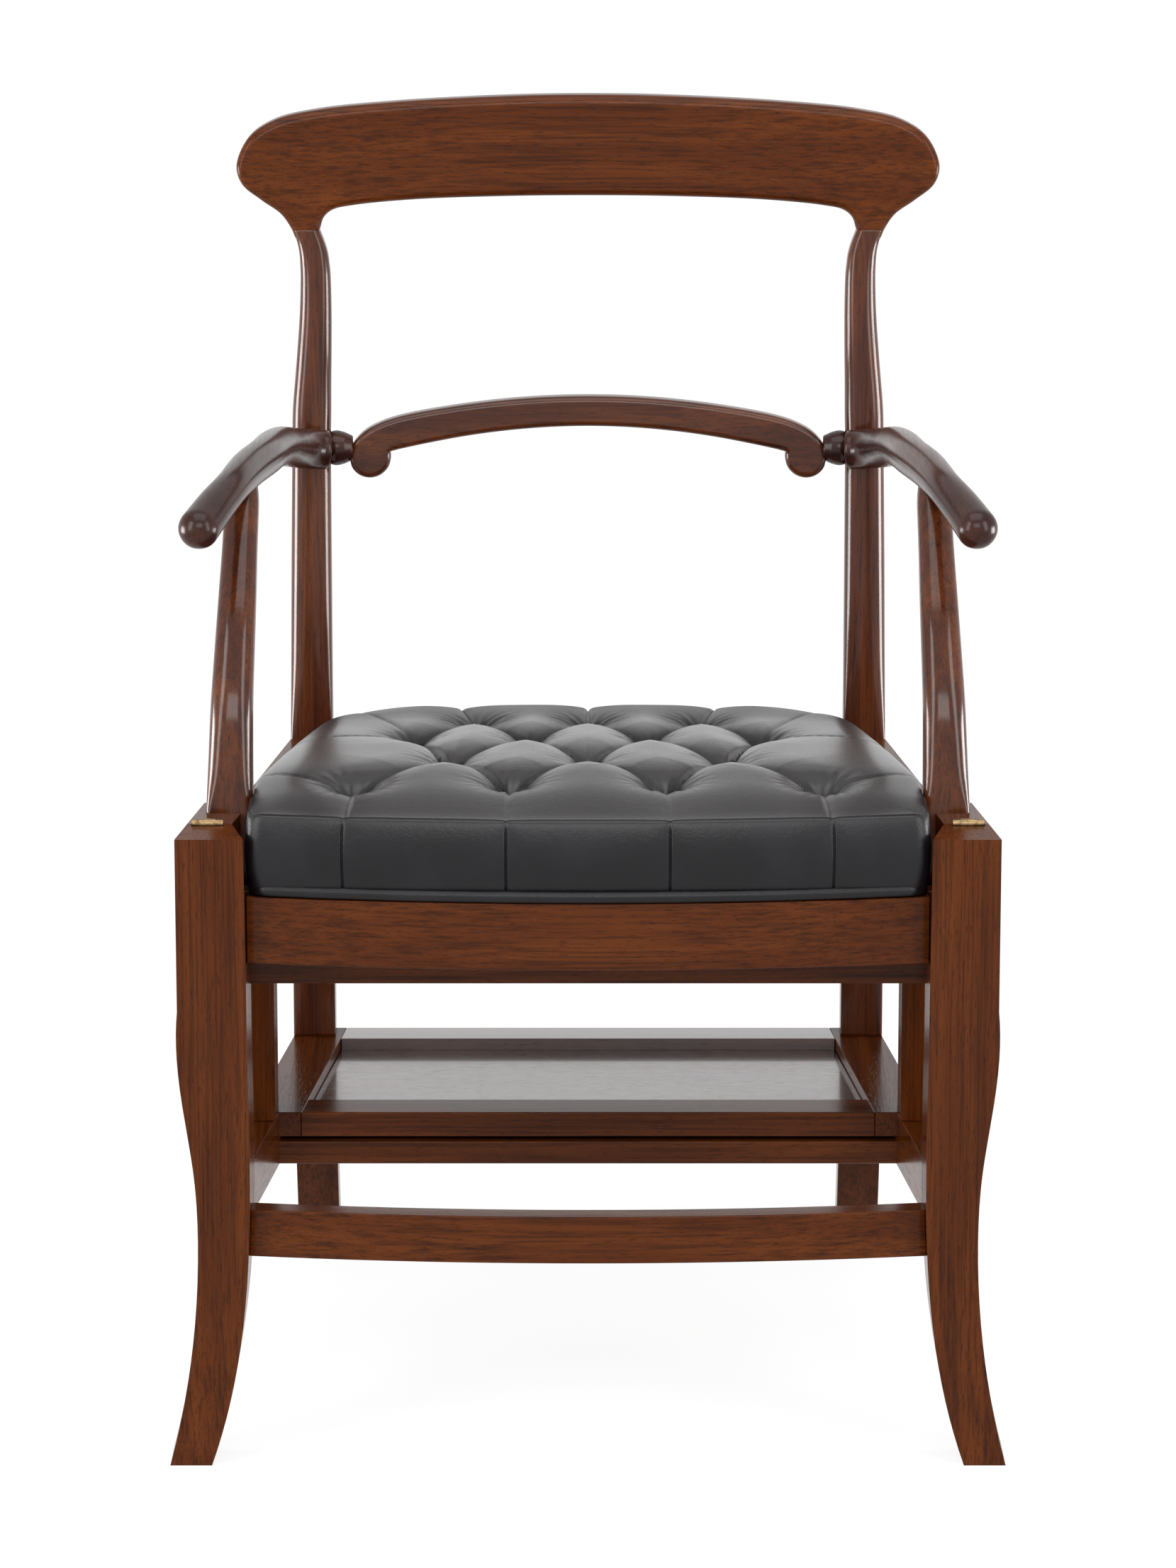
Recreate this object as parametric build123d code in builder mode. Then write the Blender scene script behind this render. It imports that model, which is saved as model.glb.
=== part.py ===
from build123d import *
import os
from math import asin, cos, radians, sin, sqrt, tau

# Library armchair whose seat and back tip over forwards into a flight of four steps.
# Millimetres, +Z up, +Y towards the back, +X towards the right of someone who looks at the front.
# Places from front to back are measured from the front face of the front legs.

os.makedirs("parts", exist_ok=True)

# Driving sizes of the whole chair
leg_height = 455
leg_span = 572
overall_depth = 542
foot_kick = 12
rest_gap = 0.3
side_gap = 1.1
seam_gap = 0.6
soft_gap = 0.5
floor_gap = 1
cut_over = 5
board = 17.5
edge_round = 1.5
hinge_back = 30
axis_rise = 0.5

# Front legs
leg_width = 47.5
leg_deep = 62
shoulder_drop = 96
top_drop = 4
seam_in_outer = 7
seam_in_inner = 9.1
foot_depth = 34
knee_share = 0.49
ankle_share = 0.264
outer_leg_shares = ((0, 0.72), (0.04, 0.585), (0.215, 0.455), (0.26, 0.34), (0.12, 0.15), (-0.18, 0))
inner_leg_shares = ((1.02, 0.72), (1.01, 0.33), (0.82, 0.15), (0.44, 0))
front_curve_shares = ((0, 1), (0.12, 0.6), (0.5, 0.25), (1, 0))

# Side frame: stretchers, back legs and the posts under the second step
stretcher_top = 190
stretcher_bottom = 150.5
stretcher_thick = 21
stretcher_front_inset = 41.2
stretcher_back_inset = 80.9
step_back = 228
post_deep = 22
post_gap = 2
back_leg_kick = 102
back_leg_deep = 26
back_leg_inset = 92
back_leg_width = 32
back_foot_deep = 30
tread_thick = 18.5
front_bow = 20
front_rail_in = 13
stretcher_low = 147
stretcher_high = 181
stretcher_deep = 19
stretcher_lap_share = 0.25
second_step_drop = 9.5
board_in = 2

# Seat frame
rail_thick = 31.4
rail_drop = 31
rail_curve = 45
curve_along_share = 0.33
curve_up_share = 0.25
seat_rail_drop = 48
seat_rail_deep = 25
seat_corner_deep = 20
arm_back = 31.5
post_base_deep = 34
back_rail_thick = 22

# Tread under the seat
tread_width = 37
tread_front_width = 35
tread_back_width = 33
panel_sink = 9

# Back stiles: shifts of the inner and outer face from the square lower part, at shares of the height
stile_lean = 15
stile_deep = 26
stile_head_deep = 22
stile_height_shares = (0, 0.14, 0.33, 0.5, 0.61, 0.67, 0.74, 0.84, 0.94)
stile_lean_shares = (0, 0.04, 0.17, 0.33, 0.46, 0.53, 0.62, 0.76, 0.9)
stile_in_shifts = (0, 0, 0, 0, 0, -0.6, -1.3, -1.4, -0.6)
stile_out_shifts = (0, -0.4, -1.2, -2.2, -3, -4, -6, -9.5, -10.5)
stile_rounds = (1.5, 6, 7, 7, 7, 7, 7, 6.5, 6)

# Crest: shares of its half width, and drops from its top
crest_inset = 23.4
crest_bow = 29
crest_deep = 23
crest_round = 4
crest_joint_drop = 99
crest_top_shares = (0, 0.195, 0.551, 0.775, 0.892, 0.963, 1)
crest_top_drops = (0, 1.6, 4.6, 9.8, 16.7, 28.9, 50)
crest_outer_shares = (1, 0.985, 0.931, 0.876, 0.844)
crest_outer_drops = (50, 64.4, 76.7, 87.5, 99)
crest_inner_shares = (0.767, 0.757, 0.729, 0.674)
crest_inner_drops = (99, 90.5, 85, 82.5)
crest_under_shares = (0.674, 0.505, 0.25, 0)
crest_under_drops = (82.5, 78.3, 76.4, 75.9)
crest_under_slopes = (-1, 0.1)

# Back rail: shares of the scroll's place, and rises from the scroll's middle
back_rail_deep = 18
back_rail_bow = 18
scroll_inset = 121.7
scroll_rise = 186
scroll_radius = 15.7
peg_flat = 2
arch_rise = 44
arch_end_share = 0.87
arch_end_rise = 30.2
corner_share = 1.035
corner_rise = 18.8
under_rise = 21
notch_rise = 3.7
peg_radii = (9.7, 13.3, 12.6)
peg_shares = (0, 0.7, 1)
peg_faces = 8

# Arms: places of the centre line, and size of the section there as a share
arm_half_wide = 12.5
arm_half_high = 12.5
arm_insets = (92, 73, 60.5, 58, 56.5, 45, 33, 23, 13)
arm_back_shares = (0.994, 0.967, 0.885, 0.77, 0.636, 0.459, 0.3, 0.236, 0.173)
arm_rises = (190, 193, 200, 206, 213, 217, 214, 208, 202)
arm_size_shares = (1, 1.02, 1, 0.96, 0.94, 0.93, 0.88, 0.96, 1.06)
lobe_share = 0.97
club_shares = ((0.55, 0.85), (0.93, 0.4))
arm_faces = 8

# Arm posts: shares of their height, and the faces' places
post_height_shares = (0, 0.34, 0.62, 0.82, 1)
post_in_insets = (50.4, 50.8, 52, 51.8, 52.4)
post_out_insets = (18.2, 21, 24.8, 27, 27.6)
post_leans = (0, 14.5, 46.5, 80.5, 109)
post_depths = (34, 30, 31, 31, 31)
post_rounds = (1.5, 7, 8, 8, 8)
post_foot_drop = 50

# Cushion
cushion_in = 5
cushion_clear = 6
cushion_back_clear = 2
cushion_rises = (12, 17, 19, 11, -6)
cushion_depth_shares = (-0.03, 0.09, 0.25, 0.61, 1)
cushion_draw = 7
crown_shares = (0, 0.45, 0.75)
crown_drops = (0, 1.2, 4.5)
crown_slope_share = 0.12
side_rise = 42
piping_radius = 4.5
piping_out = 2
piping_corner = 10
groove_corner = 5
piping_faces = 6
tuft_depth_shares = (0.227, 0.411, 0.609, 0.795)
tuft_place_shares = ((0.237, 0.71), (0, 0.426), (0.185, 0.55), (0, 0.357))
tuft_top_radius = 17
tuft_floor_radius = 2
tuft_faces = 6
tuft_sink = 15
tuft_over = 6
pleat_half = 15
pleat_sink = 8
pleat_over = 7
pleat_reach_share = 0.28

# Hinges
hinge_outer_inset = 10.45
hinge_width = 21.8
knuckle_radius = 3
centre_knuckle_radius = 3.6
knuckle_clear = 0.6
centre_knuckle_share = 0.51
leaf_thick = 1.6
leaf_height = 26
pin_radius = 1.2
pin_clear = 0.05

# Turns, in degrees, of the points on a softened corner
corner_turns = (0, 90)
corner_starts = (270, 0, 90, 180)

# Places that follow from the sizes above
front_y = foot_kick - overall_depth / 2
axis_y = front_y + hinge_back
axis_z = leg_height + axis_rise
total_height = 2 * axis_z - floor_gap
leg_outer = leg_span / 2
leg_inner = leg_outer - leg_width
shoulder_height = leg_height - shoulder_drop
second_step_top = shoulder_height - second_step_drop
rail_top = leg_height - rail_drop
seat_rail_top = leg_height - seat_rail_drop
knee_height = leg_height * knee_share
ankle_height = leg_height * ankle_share
back_leg_front = overall_depth - back_leg_kick
back_leg_in = leg_outer - back_leg_inset
stretcher_in_front = leg_outer - stretcher_front_inset
stretcher_in_back = leg_outer - stretcher_back_inset
scroll_x = leg_outer - scroll_inset
scroll_z = leg_height + scroll_rise
stile_head = total_height - crest_joint_drop
crest_half = leg_outer - crest_inset
neck_in = crest_half * crest_inner_shares[0]
neck_out = crest_half * crest_outer_shares[-1]


def back(distance: float) -> float:
    """Y of a place this far behind the front face of the front legs."""
    return front_y + distance


def upright(distance: float) -> Plane:
    """Upright plane across the chair, drawn in X and Z, whose extrusions of negative amount go back."""
    return Plane(origin=(0, back(distance), 0), x_dir=(1, 0, 0), z_dir=(0, -1, 0))


def save(solid: Part, label: str) -> None:
    """Writes one finished piece under its name."""
    solid.label = label
    export_step(solid, f"parts/{label}.step")


def save_pair(solid: Part, label: str) -> None:
    """Writes a right-hand piece and its mirror image."""
    save(solid, label + "_r")
    save(mirror(solid, about=Plane.YZ), label + "_l")


def bar_section(left: float, right: float, near: float, far: float, radius: float) -> list:
    """Points of a bar's level section, with its four corners taken off."""
    middles = (
        (right - radius, near + radius),
        (right - radius, far - radius),
        (left + radius, far - radius),
        (left + radius, near + radius),
    )
    return [
        (x + radius * cos(radians(start + turn)), y + radius * sin(radians(start + turn)))
        for (x, y), start in zip(middles, corner_starts)
        for turn in corner_turns
    ]


def slope_at(start: float, end: float, first: float, last: float, place: float) -> float:
    """Value at one place of a line that runs from start at first to end at last."""
    return start + (end - start) * (place - first) / (last - first)


step_front = step_back - post_gap
stretcher_back_top = stretcher_top - tread_thick - rest_gap
rail_bottom = shoulder_height + rest_gap
rail_out_front = leg_outer - seam_in_outer
rail_out_back = back_leg_in + back_leg_width
seat_front = hinge_back + seam_gap / 2
seat_leg_back = hinge_back - seam_gap / 2
depth_back = overall_depth - foot_kick


def stretcher_inner(distance: float) -> float:
    """Half the room between the side stretchers at one distance back."""
    return slope_at(stretcher_in_front, stretcher_in_back, leg_deep, back_leg_front, distance)


def rail_outer(distance: float) -> float:
    """Half the width over the side rails at one distance back."""
    return slope_at(rail_out_front, rail_out_back, seat_front, back_leg_front, distance)


# Front leg: a sabre shape in front view, straight behind, with a shoulder under the seat rail
with BuildPart() as front_leg:
    with BuildSketch(upright(-foot_kick - cut_over)):
        with BuildLine():
            outer_points = [(leg_outer - a * leg_width, b * leg_height) for a, b in outer_leg_shares]
            inner_points = [(leg_outer - a * leg_width, b * leg_height) for a, b in inner_leg_shares]
            Line((leg_outer, leg_height), outer_points[0])
            Spline(*outer_points)
            Line(outer_points[-1], inner_points[-1])
            Spline(*inner_points)
            Line(inner_points[0], (leg_inner, leg_height))
            Line((leg_inner, leg_height), (leg_outer, leg_height))
        make_face()
    extrude(amount=-(leg_deep + foot_kick + 2 * cut_over))
    with BuildSketch(Plane.YZ.offset(leg_inner - leg_width)):
        with BuildLine():
            front_points = [(back(-a * foot_kick), b * knee_height) for a, b in front_curve_shares]
            Line((back(0), leg_height - top_drop), front_points[0])
            Spline(*front_points)
            Line(front_points[-1], (back(foot_depth - foot_kick), 0))
            ThreePointArc(
                (back(foot_depth - foot_kick), 0),
                (back(leg_deep - foot_kick), ankle_height / 2),
                (back(leg_deep), ankle_height),
            )
            Line((back(leg_deep), ankle_height), (back(leg_deep), shoulder_height))
            Line((back(leg_deep), shoulder_height), (back(seat_leg_back), shoulder_height))
            Line((back(seat_leg_back), shoulder_height), (back(seat_leg_back), leg_height))
            Line((back(seat_leg_back), leg_height), (back(0), leg_height - top_drop))
        make_face()
    extrude(amount=leg_outer, mode=Mode.INTERSECT)
    with BuildSketch(Plane.XY.offset(shoulder_height)):
        with BuildLine():
            Polyline(
                (leg_outer, back(0)),
                (leg_outer - seam_in_outer, back(seat_leg_back)),
                (leg_outer + seam_in_outer, back(seat_leg_back)),
                close=True,
            )
        make_face()
        with BuildLine():
            Polyline(
                (leg_inner, back(0)),
                (leg_inner + seam_in_inner, back(seat_leg_back)),
                (leg_inner - seam_in_inner, back(seat_leg_back)),
                close=True,
            )
        make_face()
    extrude(amount=leg_height, mode=Mode.SUBTRACT)

# Side stretcher: full height before the tread, stepped down under it
with BuildPart() as side_stretcher:
    with BuildSketch(Plane.XY.offset(stretcher_bottom)):
        with BuildLine():
            Polyline(
                (stretcher_inner(leg_deep), back(leg_deep)),
                (stretcher_inner(leg_deep) + stretcher_thick, back(leg_deep)),
                (stretcher_inner(back_leg_front) + stretcher_thick, back(back_leg_front)),
                (stretcher_inner(back_leg_front), back(back_leg_front)),
                close=True,
            )
        make_face()
    extrude(amount=stretcher_top - stretcher_bottom)
    with BuildSketch(Plane.YZ.offset(back_leg_in - stretcher_thick)):
        with Locations((back(step_front + post_gap / 2), stretcher_back_top)):
            Rectangle(overall_depth, leg_height, align=(Align.MIN, Align.MIN))
    extrude(amount=leg_span, mode=Mode.SUBTRACT)

# Back leg: short, raked back, its head under the corner of the tread
with BuildPart() as back_leg:
    with BuildSketch(Plane.YZ.offset(back_leg_in)):
        with BuildLine():
            Line((back(back_leg_front), stretcher_back_top), (back(back_leg_front), stretcher_bottom))
            ThreePointArc(
                (back(back_leg_front), stretcher_bottom),
                (back((back_leg_front + depth_back - back_foot_deep - foot_kick) / 2), stretcher_bottom / 2),
                (back(depth_back - back_foot_deep), 0),
            )
            Line((back(depth_back - back_foot_deep), 0), (back(depth_back), 0))
            ThreePointArc(
                (back(depth_back), 0),
                (back((back_leg_front + back_leg_deep + depth_back - foot_kick) / 2), stretcher_bottom / 2),
                (back(back_leg_front + back_leg_deep), stretcher_bottom),
            )
            Line(
                (back(back_leg_front + back_leg_deep), stretcher_bottom),
                (back(back_leg_front + back_leg_deep), stretcher_back_top),
            )
            Line(
                (back(back_leg_front + back_leg_deep), stretcher_back_top),
                (back(back_leg_front), stretcher_back_top),
            )
        make_face()
    extrude(amount=back_leg_width)

# Front stretcher, bowed forwards in plan
with BuildPart() as front_stretcher:
    with BuildSketch(Plane.XY.offset(stretcher_low)):
        with BuildLine():
            stretcher_half = leg_inner + leg_width * stretcher_lap_share
            ThreePointArc(
                (-stretcher_half, back(front_rail_in)),
                (0, back(front_rail_in - front_bow)),
                (stretcher_half, back(front_rail_in)),
            )
            stretcher_far = front_rail_in + stretcher_deep
            Line((stretcher_half, back(front_rail_in)), (stretcher_half, back(stretcher_far)))
            ThreePointArc(
                (stretcher_half, back(stretcher_far)),
                (0, back(stretcher_far - front_bow)),
                (-stretcher_half, back(stretcher_far)),
            )
            Line((-stretcher_half, back(stretcher_far)), (-stretcher_half, back(front_rail_in)))
        make_face()
    extrude(amount=stretcher_high - stretcher_low)
    add(front_leg.part, mode=Mode.SUBTRACT)
    add(mirror(front_leg.part, about=Plane.YZ), mode=Mode.SUBTRACT)

# Back stretcher between the back legs
with BuildPart() as back_stretcher:
    with BuildSketch(upright(back_leg_front + board_in)):
        with Locations((0, stretcher_bottom)):
            Rectangle(2 * back_leg_in, stretcher_back_top - stretcher_bottom, align=(Align.CENTER, Align.MIN))
    extrude(amount=-(back_leg_deep - 2 * board_in))

# First step: the lowest board, let in between the side stretchers
with BuildPart() as step_1:
    with BuildSketch(Plane.XY.offset(stretcher_bottom)):
        with BuildLine():
            Polyline(
                (-stretcher_inner(step_back), back(step_back)),
                (stretcher_inner(step_back), back(step_back)),
                (stretcher_inner(back_leg_front), back(back_leg_front)),
                (-stretcher_inner(back_leg_front), back(back_leg_front)),
                close=True,
            )
        make_face()
    extrude(amount=board)
    fillet(step_1.edges().filter_by(Axis.X).sort_by(Axis.Y)[0:2], edge_round)

# Post under the second step
post_inner = stretcher_inner(step_front - post_deep / 2)
with BuildPart() as step_post:
    with BuildSketch(Plane.XY.offset(stretcher_top)):
        with Locations((post_inner, back(step_front - post_deep))):
            Rectangle(stretcher_thick, post_deep, align=(Align.MIN, Align.MIN))
    extrude(amount=second_step_top - board - stretcher_top)

# Second step: its front edge meets the back of the front legs, its back edge stands on the posts
with BuildPart() as step_2:
    with BuildSketch(Plane.XY.offset(second_step_top - board)):
        with BuildLine():
            Polyline(
                (-stretcher_inner(leg_deep) - stretcher_thick / 2, back(leg_deep)),
                (stretcher_inner(leg_deep) + stretcher_thick / 2, back(leg_deep)),
                (post_inner + stretcher_thick, back(step_front)),
                (-post_inner - stretcher_thick, back(step_front)),
                close=True,
            )
        make_face()
    extrude(amount=board)
    fillet(step_2.edges().filter_by(Axis.X).group_by(Axis.Z)[-1], edge_round)

# Seat side rail: the raised block at its front meets the leg at the hinge
with BuildPart() as side_rail:
    with BuildSketch(Plane.XY.offset(rail_bottom)):
        with BuildLine():
            Polyline(
                (rail_outer(seat_front), back(seat_front)),
                (rail_outer(back_leg_front), back(back_leg_front)),
                (rail_outer(back_leg_front) - rail_thick, back(back_leg_front)),
                (rail_outer(seat_front) - rail_thick, back(seat_front)),
                close=True,
            )
        make_face()
    extrude(amount=leg_height - rail_bottom)
    block_end = hinge_back + arm_back + post_base_deep
    with BuildSketch(Plane.YZ):
        with BuildLine():
            ThreePointArc(
                (back(block_end), leg_height),
                (
                    back(block_end + rail_curve * curve_along_share),
                    rail_top + (leg_height - rail_top) * curve_up_share,
                ),
                (back(block_end + rail_curve), rail_top),
            )
            Line((back(block_end + rail_curve), rail_top), (back(overall_depth), rail_top))
            Line((back(overall_depth), rail_top), (back(overall_depth), leg_height + cut_over))
            Line((back(overall_depth), leg_height + cut_over), (back(block_end), leg_height + cut_over))
            Line((back(block_end), leg_height + cut_over), (back(block_end), leg_height))
        make_face()
    extrude(amount=leg_span, mode=Mode.SUBTRACT)

# Seat front rail: bowed in front, shouldered round the legs and out to the side rails
seat_rail_half = leg_inner - side_gap
with BuildPart() as seat_front_rail:
    with BuildSketch(Plane.XY.offset(rail_bottom)):
        with BuildLine():
            corner_in = rail_outer(seat_front) - rail_thick
            corner_back = seat_front + seat_corner_deep
            corner_in_back = rail_outer(corner_back) - rail_thick
            ThreePointArc(
                (-seat_rail_half, back(front_rail_in)),
                (0, back(front_rail_in - front_bow)),
                (seat_rail_half, back(front_rail_in)),
            )
            Polyline(
                (seat_rail_half, back(front_rail_in)),
                (seat_rail_half, back(seat_front)),
                (corner_in, back(seat_front)),
                (corner_in_back, back(corner_back)),
            )
            ThreePointArc(
                (corner_in_back, back(corner_back)),
                (0, back(front_rail_in - front_bow + seat_rail_deep)),
                (-corner_in_back, back(corner_back)),
            )
            Polyline(
                (-corner_in_back, back(corner_back)),
                (-corner_in, back(seat_front)),
                (-seat_rail_half, back(seat_front)),
                (-seat_rail_half, back(front_rail_in)),
            )
        make_face()
    extrude(amount=seat_rail_top - rail_bottom)

# Seat back rail between the stiles
with BuildPart() as seat_back_rail:
    with BuildSketch(upright(back_leg_front + board_in)):
        with Locations((0, rail_bottom)):
            Rectangle(2 * back_leg_in, rail_top - rail_bottom, align=(Align.CENTER, Align.MIN))
    extrude(amount=-back_rail_thick)

# Third step: the board that closes the underside of the seat
with BuildPart() as step_3:
    with BuildSketch(Plane.XY.offset(rail_bottom)):
        with BuildLine():
            ThreePointArc(
                (-corner_in_back, back(corner_back)),
                (0, back(front_rail_in - front_bow + seat_rail_deep)),
                (corner_in_back, back(corner_back)),
            )
            Polyline(
                (corner_in_back, back(corner_back)),
                (rail_outer(back_leg_front) - rail_thick, back(back_leg_front)),
                (-rail_outer(back_leg_front) + rail_thick, back(back_leg_front)),
                (-corner_in_back, back(corner_back)),
            )
        make_face()
    extrude(amount=board)

# Post that hangs the front of the tread from the side rail
with BuildPart() as tread_post:
    with BuildSketch(Plane.XY.offset(stretcher_top)):
        with Locations((post_inner, back(step_back))):
            Rectangle(stretcher_thick, post_deep, align=(Align.MIN, Align.MIN))
    extrude(amount=rail_bottom - stretcher_top)

# Tread: a frame of four pieces round a sunk panel
tread_under = stretcher_top - tread_thick
tread_end = back_leg_front + back_leg_deep


def tread_outer(distance: float) -> float:
    """Half the width over the tread at one distance back."""
    return stretcher_inner(distance) + stretcher_thick


with BuildPart() as tread_side:
    with BuildSketch(Plane.XY.offset(tread_under)):
        with BuildLine():
            Polyline(
                (tread_outer(step_back), back(step_back)),
                (tread_outer(tread_end), back(tread_end)),
                (tread_outer(tread_end) - tread_width, back(tread_end)),
                (tread_outer(step_back) - tread_width, back(step_back)),
                close=True,
            )
        make_face()
    extrude(amount=tread_thick)

tread_bands = {
    "tread_front": (step_back, step_back + tread_front_width, tread_thick),
    "tread_panel": (step_back + tread_front_width, tread_end - tread_back_width, tread_thick - panel_sink),
    "tread_back": (tread_end - tread_back_width, tread_end, tread_thick),
}
for band_name, (band_front, band_back, band_thick) in tread_bands.items():
    with BuildPart() as tread_band:
        with BuildSketch(Plane.XY.offset(tread_under)):
            with BuildLine():
                Polyline(
                    (-tread_outer(band_front) + tread_width, back(band_front)),
                    (tread_outer(band_front) - tread_width, back(band_front)),
                    (tread_outer(band_back) - tread_width, back(band_back)),
                    (-tread_outer(band_back) + tread_width, back(band_back)),
                    close=True,
                )
            make_face()
        extrude(amount=band_thick)
    save(tread_band.part, band_name)

# Back stile: square from the tread to the seat, then rounded, leaning back and narrowing to the crest
with BuildPart() as stile:
    with BuildSketch(Plane.XY.offset(stretcher_top)):
        with Locations((back_leg_in, back(back_leg_front))):
            Rectangle(back_leg_width, stile_deep, align=(Align.MIN, Align.MIN))
    extrude(amount=rail_top - stretcher_top)
    for rise, lean, in_shift, out_shift, radius in zip(
        stile_height_shares + (1,),
        stile_lean_shares + (1,),
        stile_in_shifts + (neck_in - back_leg_in,),
        stile_out_shifts + (neck_out - rail_out_back,),
        stile_rounds + (stile_rounds[-1],),
    ):
        stile_near = back(back_leg_front + lean * stile_lean)
        stile_far = stile_near + stile_deep - lean * (stile_deep - stile_head_deep)
        with BuildSketch(Plane.XY.offset(rail_top + rise * (stile_head - rail_top))):
            with BuildLine():
                stile_left, stile_right = back_leg_in + in_shift, rail_out_back + out_shift
                Polyline(*bar_section(stile_left, stile_right, stile_near, stile_far, radius), close=True)
            make_face()
    loft()

# Crest rail: yoke-shaped in front view and bowed back in plan
crest_face = back_leg_front + stile_lean + crest_bow * (neck_out / leg_outer) ** 2


def crest_points(shares: tuple, drops: tuple) -> list:
    """Places on the right half of the crest's outline."""
    return [(crest_half * share, total_height - drop) for share, drop in zip(shares, drops)]


with BuildPart() as crest:
    with BuildSketch(upright(0)):
        with BuildLine():
            top_points = crest_points(crest_top_shares, crest_top_drops)
            outer_points = crest_points(crest_outer_shares, crest_outer_drops)
            inner_points = crest_points(crest_inner_shares, crest_inner_drops)
            Spline(*top_points, tangents=((1, 0), (0, -1)))
            Spline(*outer_points, tangents=((0, -1), (0, -1)))
            Line(outer_points[-1], inner_points[0])
            under_points = crest_points(crest_under_shares, crest_under_drops)
            Spline(*inner_points, tangents=((0, 1), crest_under_slopes))
            Spline(*under_points, tangents=(crest_under_slopes, (-1, 0)))
            Line(under_points[-1], top_points[0])
        make_face()
    extrude(amount=-2 * overall_depth)
    mirror(about=Plane.YZ)
    with BuildSketch(Plane.XY.offset(rail_top)):
        with BuildLine():
            crest_end = crest_face - crest_bow
            ThreePointArc((-leg_outer, back(crest_end)), (0, back(crest_face)), (leg_outer, back(crest_end)))
            Line((leg_outer, back(crest_end)), (leg_outer, back(crest_end + crest_deep)))
            ThreePointArc(
                (leg_outer, back(crest_end + crest_deep)),
                (0, back(crest_face + crest_deep)),
                (-leg_outer, back(crest_end + crest_deep)),
            )
            Line((-leg_outer, back(crest_end + crest_deep)), (-leg_outer, back(crest_end)))
        make_face()
    extrude(amount=total_height, mode=Mode.INTERSECT)
    chamfer(crest.edges().filter_by(GeomType.LINE, reverse=True), crest_round)

# Back rail: arched, with a scroll disc at each end
rail_face = back_leg_front + stile_lean / 2
peg_seat_x = scroll_x + scroll_radius - peg_flat
peg_seat_half = sqrt(scroll_radius**2 - (scroll_radius - peg_flat) ** 2)
with BuildPart() as back_rail:
    with BuildSketch(upright(0)):
        with BuildLine():
            arch_end = (scroll_x * arch_end_share, scroll_z + arch_end_rise)
            notch = (scroll_x - sqrt(scroll_radius**2 - notch_rise**2), scroll_z + notch_rise)
            ThreePointArc((-arch_end[0], arch_end[1]), (0, scroll_z + arch_rise), arch_end)
            for side in (1, -1):
                ThreePointArc(
                    (side * arch_end[0], arch_end[1]),
                    (side * scroll_x * corner_share, scroll_z + corner_rise),
                    (side * peg_seat_x, scroll_z + peg_seat_half),
                )
                Line(
                    (side * peg_seat_x, scroll_z + peg_seat_half),
                    (side * peg_seat_x, scroll_z - peg_seat_half),
                )
                ThreePointArc(
                    (side * peg_seat_x, scroll_z - peg_seat_half),
                    (side * scroll_x, scroll_z - scroll_radius),
                    (side * notch[0], notch[1]),
                )
            ThreePointArc((-notch[0], notch[1]), (0, scroll_z + under_rise), notch)
        make_face()
    extrude(amount=-2 * overall_depth)
    with BuildSketch(Plane.XY.offset(rail_top)):
        with BuildLine():
            band_half = scroll_x + scroll_radius + cut_over
            ThreePointArc(
                (-band_half, back(rail_face)),
                (0, back(rail_face + back_rail_bow)),
                (band_half, back(rail_face)),
            )
            Line((band_half, back(rail_face)), (band_half, back(rail_face + back_rail_deep)))
            ThreePointArc(
                (band_half, back(rail_face + back_rail_deep)),
                (0, back(rail_face + back_rail_bow + back_rail_deep)),
                (-band_half, back(rail_face + back_rail_deep)),
            )
            Line((-band_half, back(rail_face + back_rail_deep)), (-band_half, back(rail_face)))
        make_face()
    extrude(amount=total_height, mode=Mode.INTERSECT)

# Peg between a stile and the scroll: a turned bead, thickest at the stile
peg_y = back(rail_face + back_rail_deep / 2 + edge_round)
peg_z = scroll_z + edge_round
with BuildPart() as back_peg:
    for share, radius in zip(peg_shares, peg_radii):
        peg_x = slope_at(peg_seat_x, back_leg_in, 0, 1, share)
        with BuildSketch(Plane(origin=(peg_x, peg_y, peg_z), x_dir=(0, 1, 0), z_dir=(1, 0, 0))):
            RegularPolygon(radius, peg_faces)
    loft(ruled=True)

# Arm: eight soft faces that run from the stile's front into a round club end in front of the post
arm_places = [
    Vector(leg_outer - inset, back(back_leg_front * share), leg_height + rise)
    for inset, share, rise in zip(arm_insets, arm_back_shares, arm_rises)
]


def arm_plane(place: Vector, along: Vector) -> Plane:
    """Plane square to the arm at one place, with its first axis level."""
    return Plane(origin=place, x_dir=along.cross(Vector(0, 0, 1)), z_dir=along)


def arm_corners(size: float) -> list:
    """Corners of the arm's section: an octagon that is a little squarer than round."""
    corners = []
    for corner in range(arm_faces):
        turn = tau * corner / arm_faces
        share = size * (lobe_share if corner % 2 else 1)
        corners.append((cos(turn) * share * arm_half_wide, sin(turn) * share * arm_half_high))
    return corners


club_along = (arm_places[-1] - arm_places[-2]).normalized()
club_size = arm_size_shares[-1]
with BuildPart() as arm:
    for near, place, far, size in zip(
        arm_places[:1] + arm_places[:-1], arm_places, arm_places[1:] + arm_places[-1:], arm_size_shares
    ):
        with BuildSketch(arm_plane(place, (far - near).normalized())):
            with BuildLine():
                Polyline(*arm_corners(size), close=True)
            make_face()
    loft()
    for reach_share, size_share in ((0, 1),) + club_shares:
        club_place = arm_places[-1] + club_along * arm_half_wide * club_size * reach_share
        with BuildSketch(arm_plane(club_place, club_along)):
            with BuildLine():
                Polyline(*arm_corners(club_size * size_share), close=True)
            make_face()
    loft(ruled=True)
    add(stile.part, mode=Mode.SUBTRACT)

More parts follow.
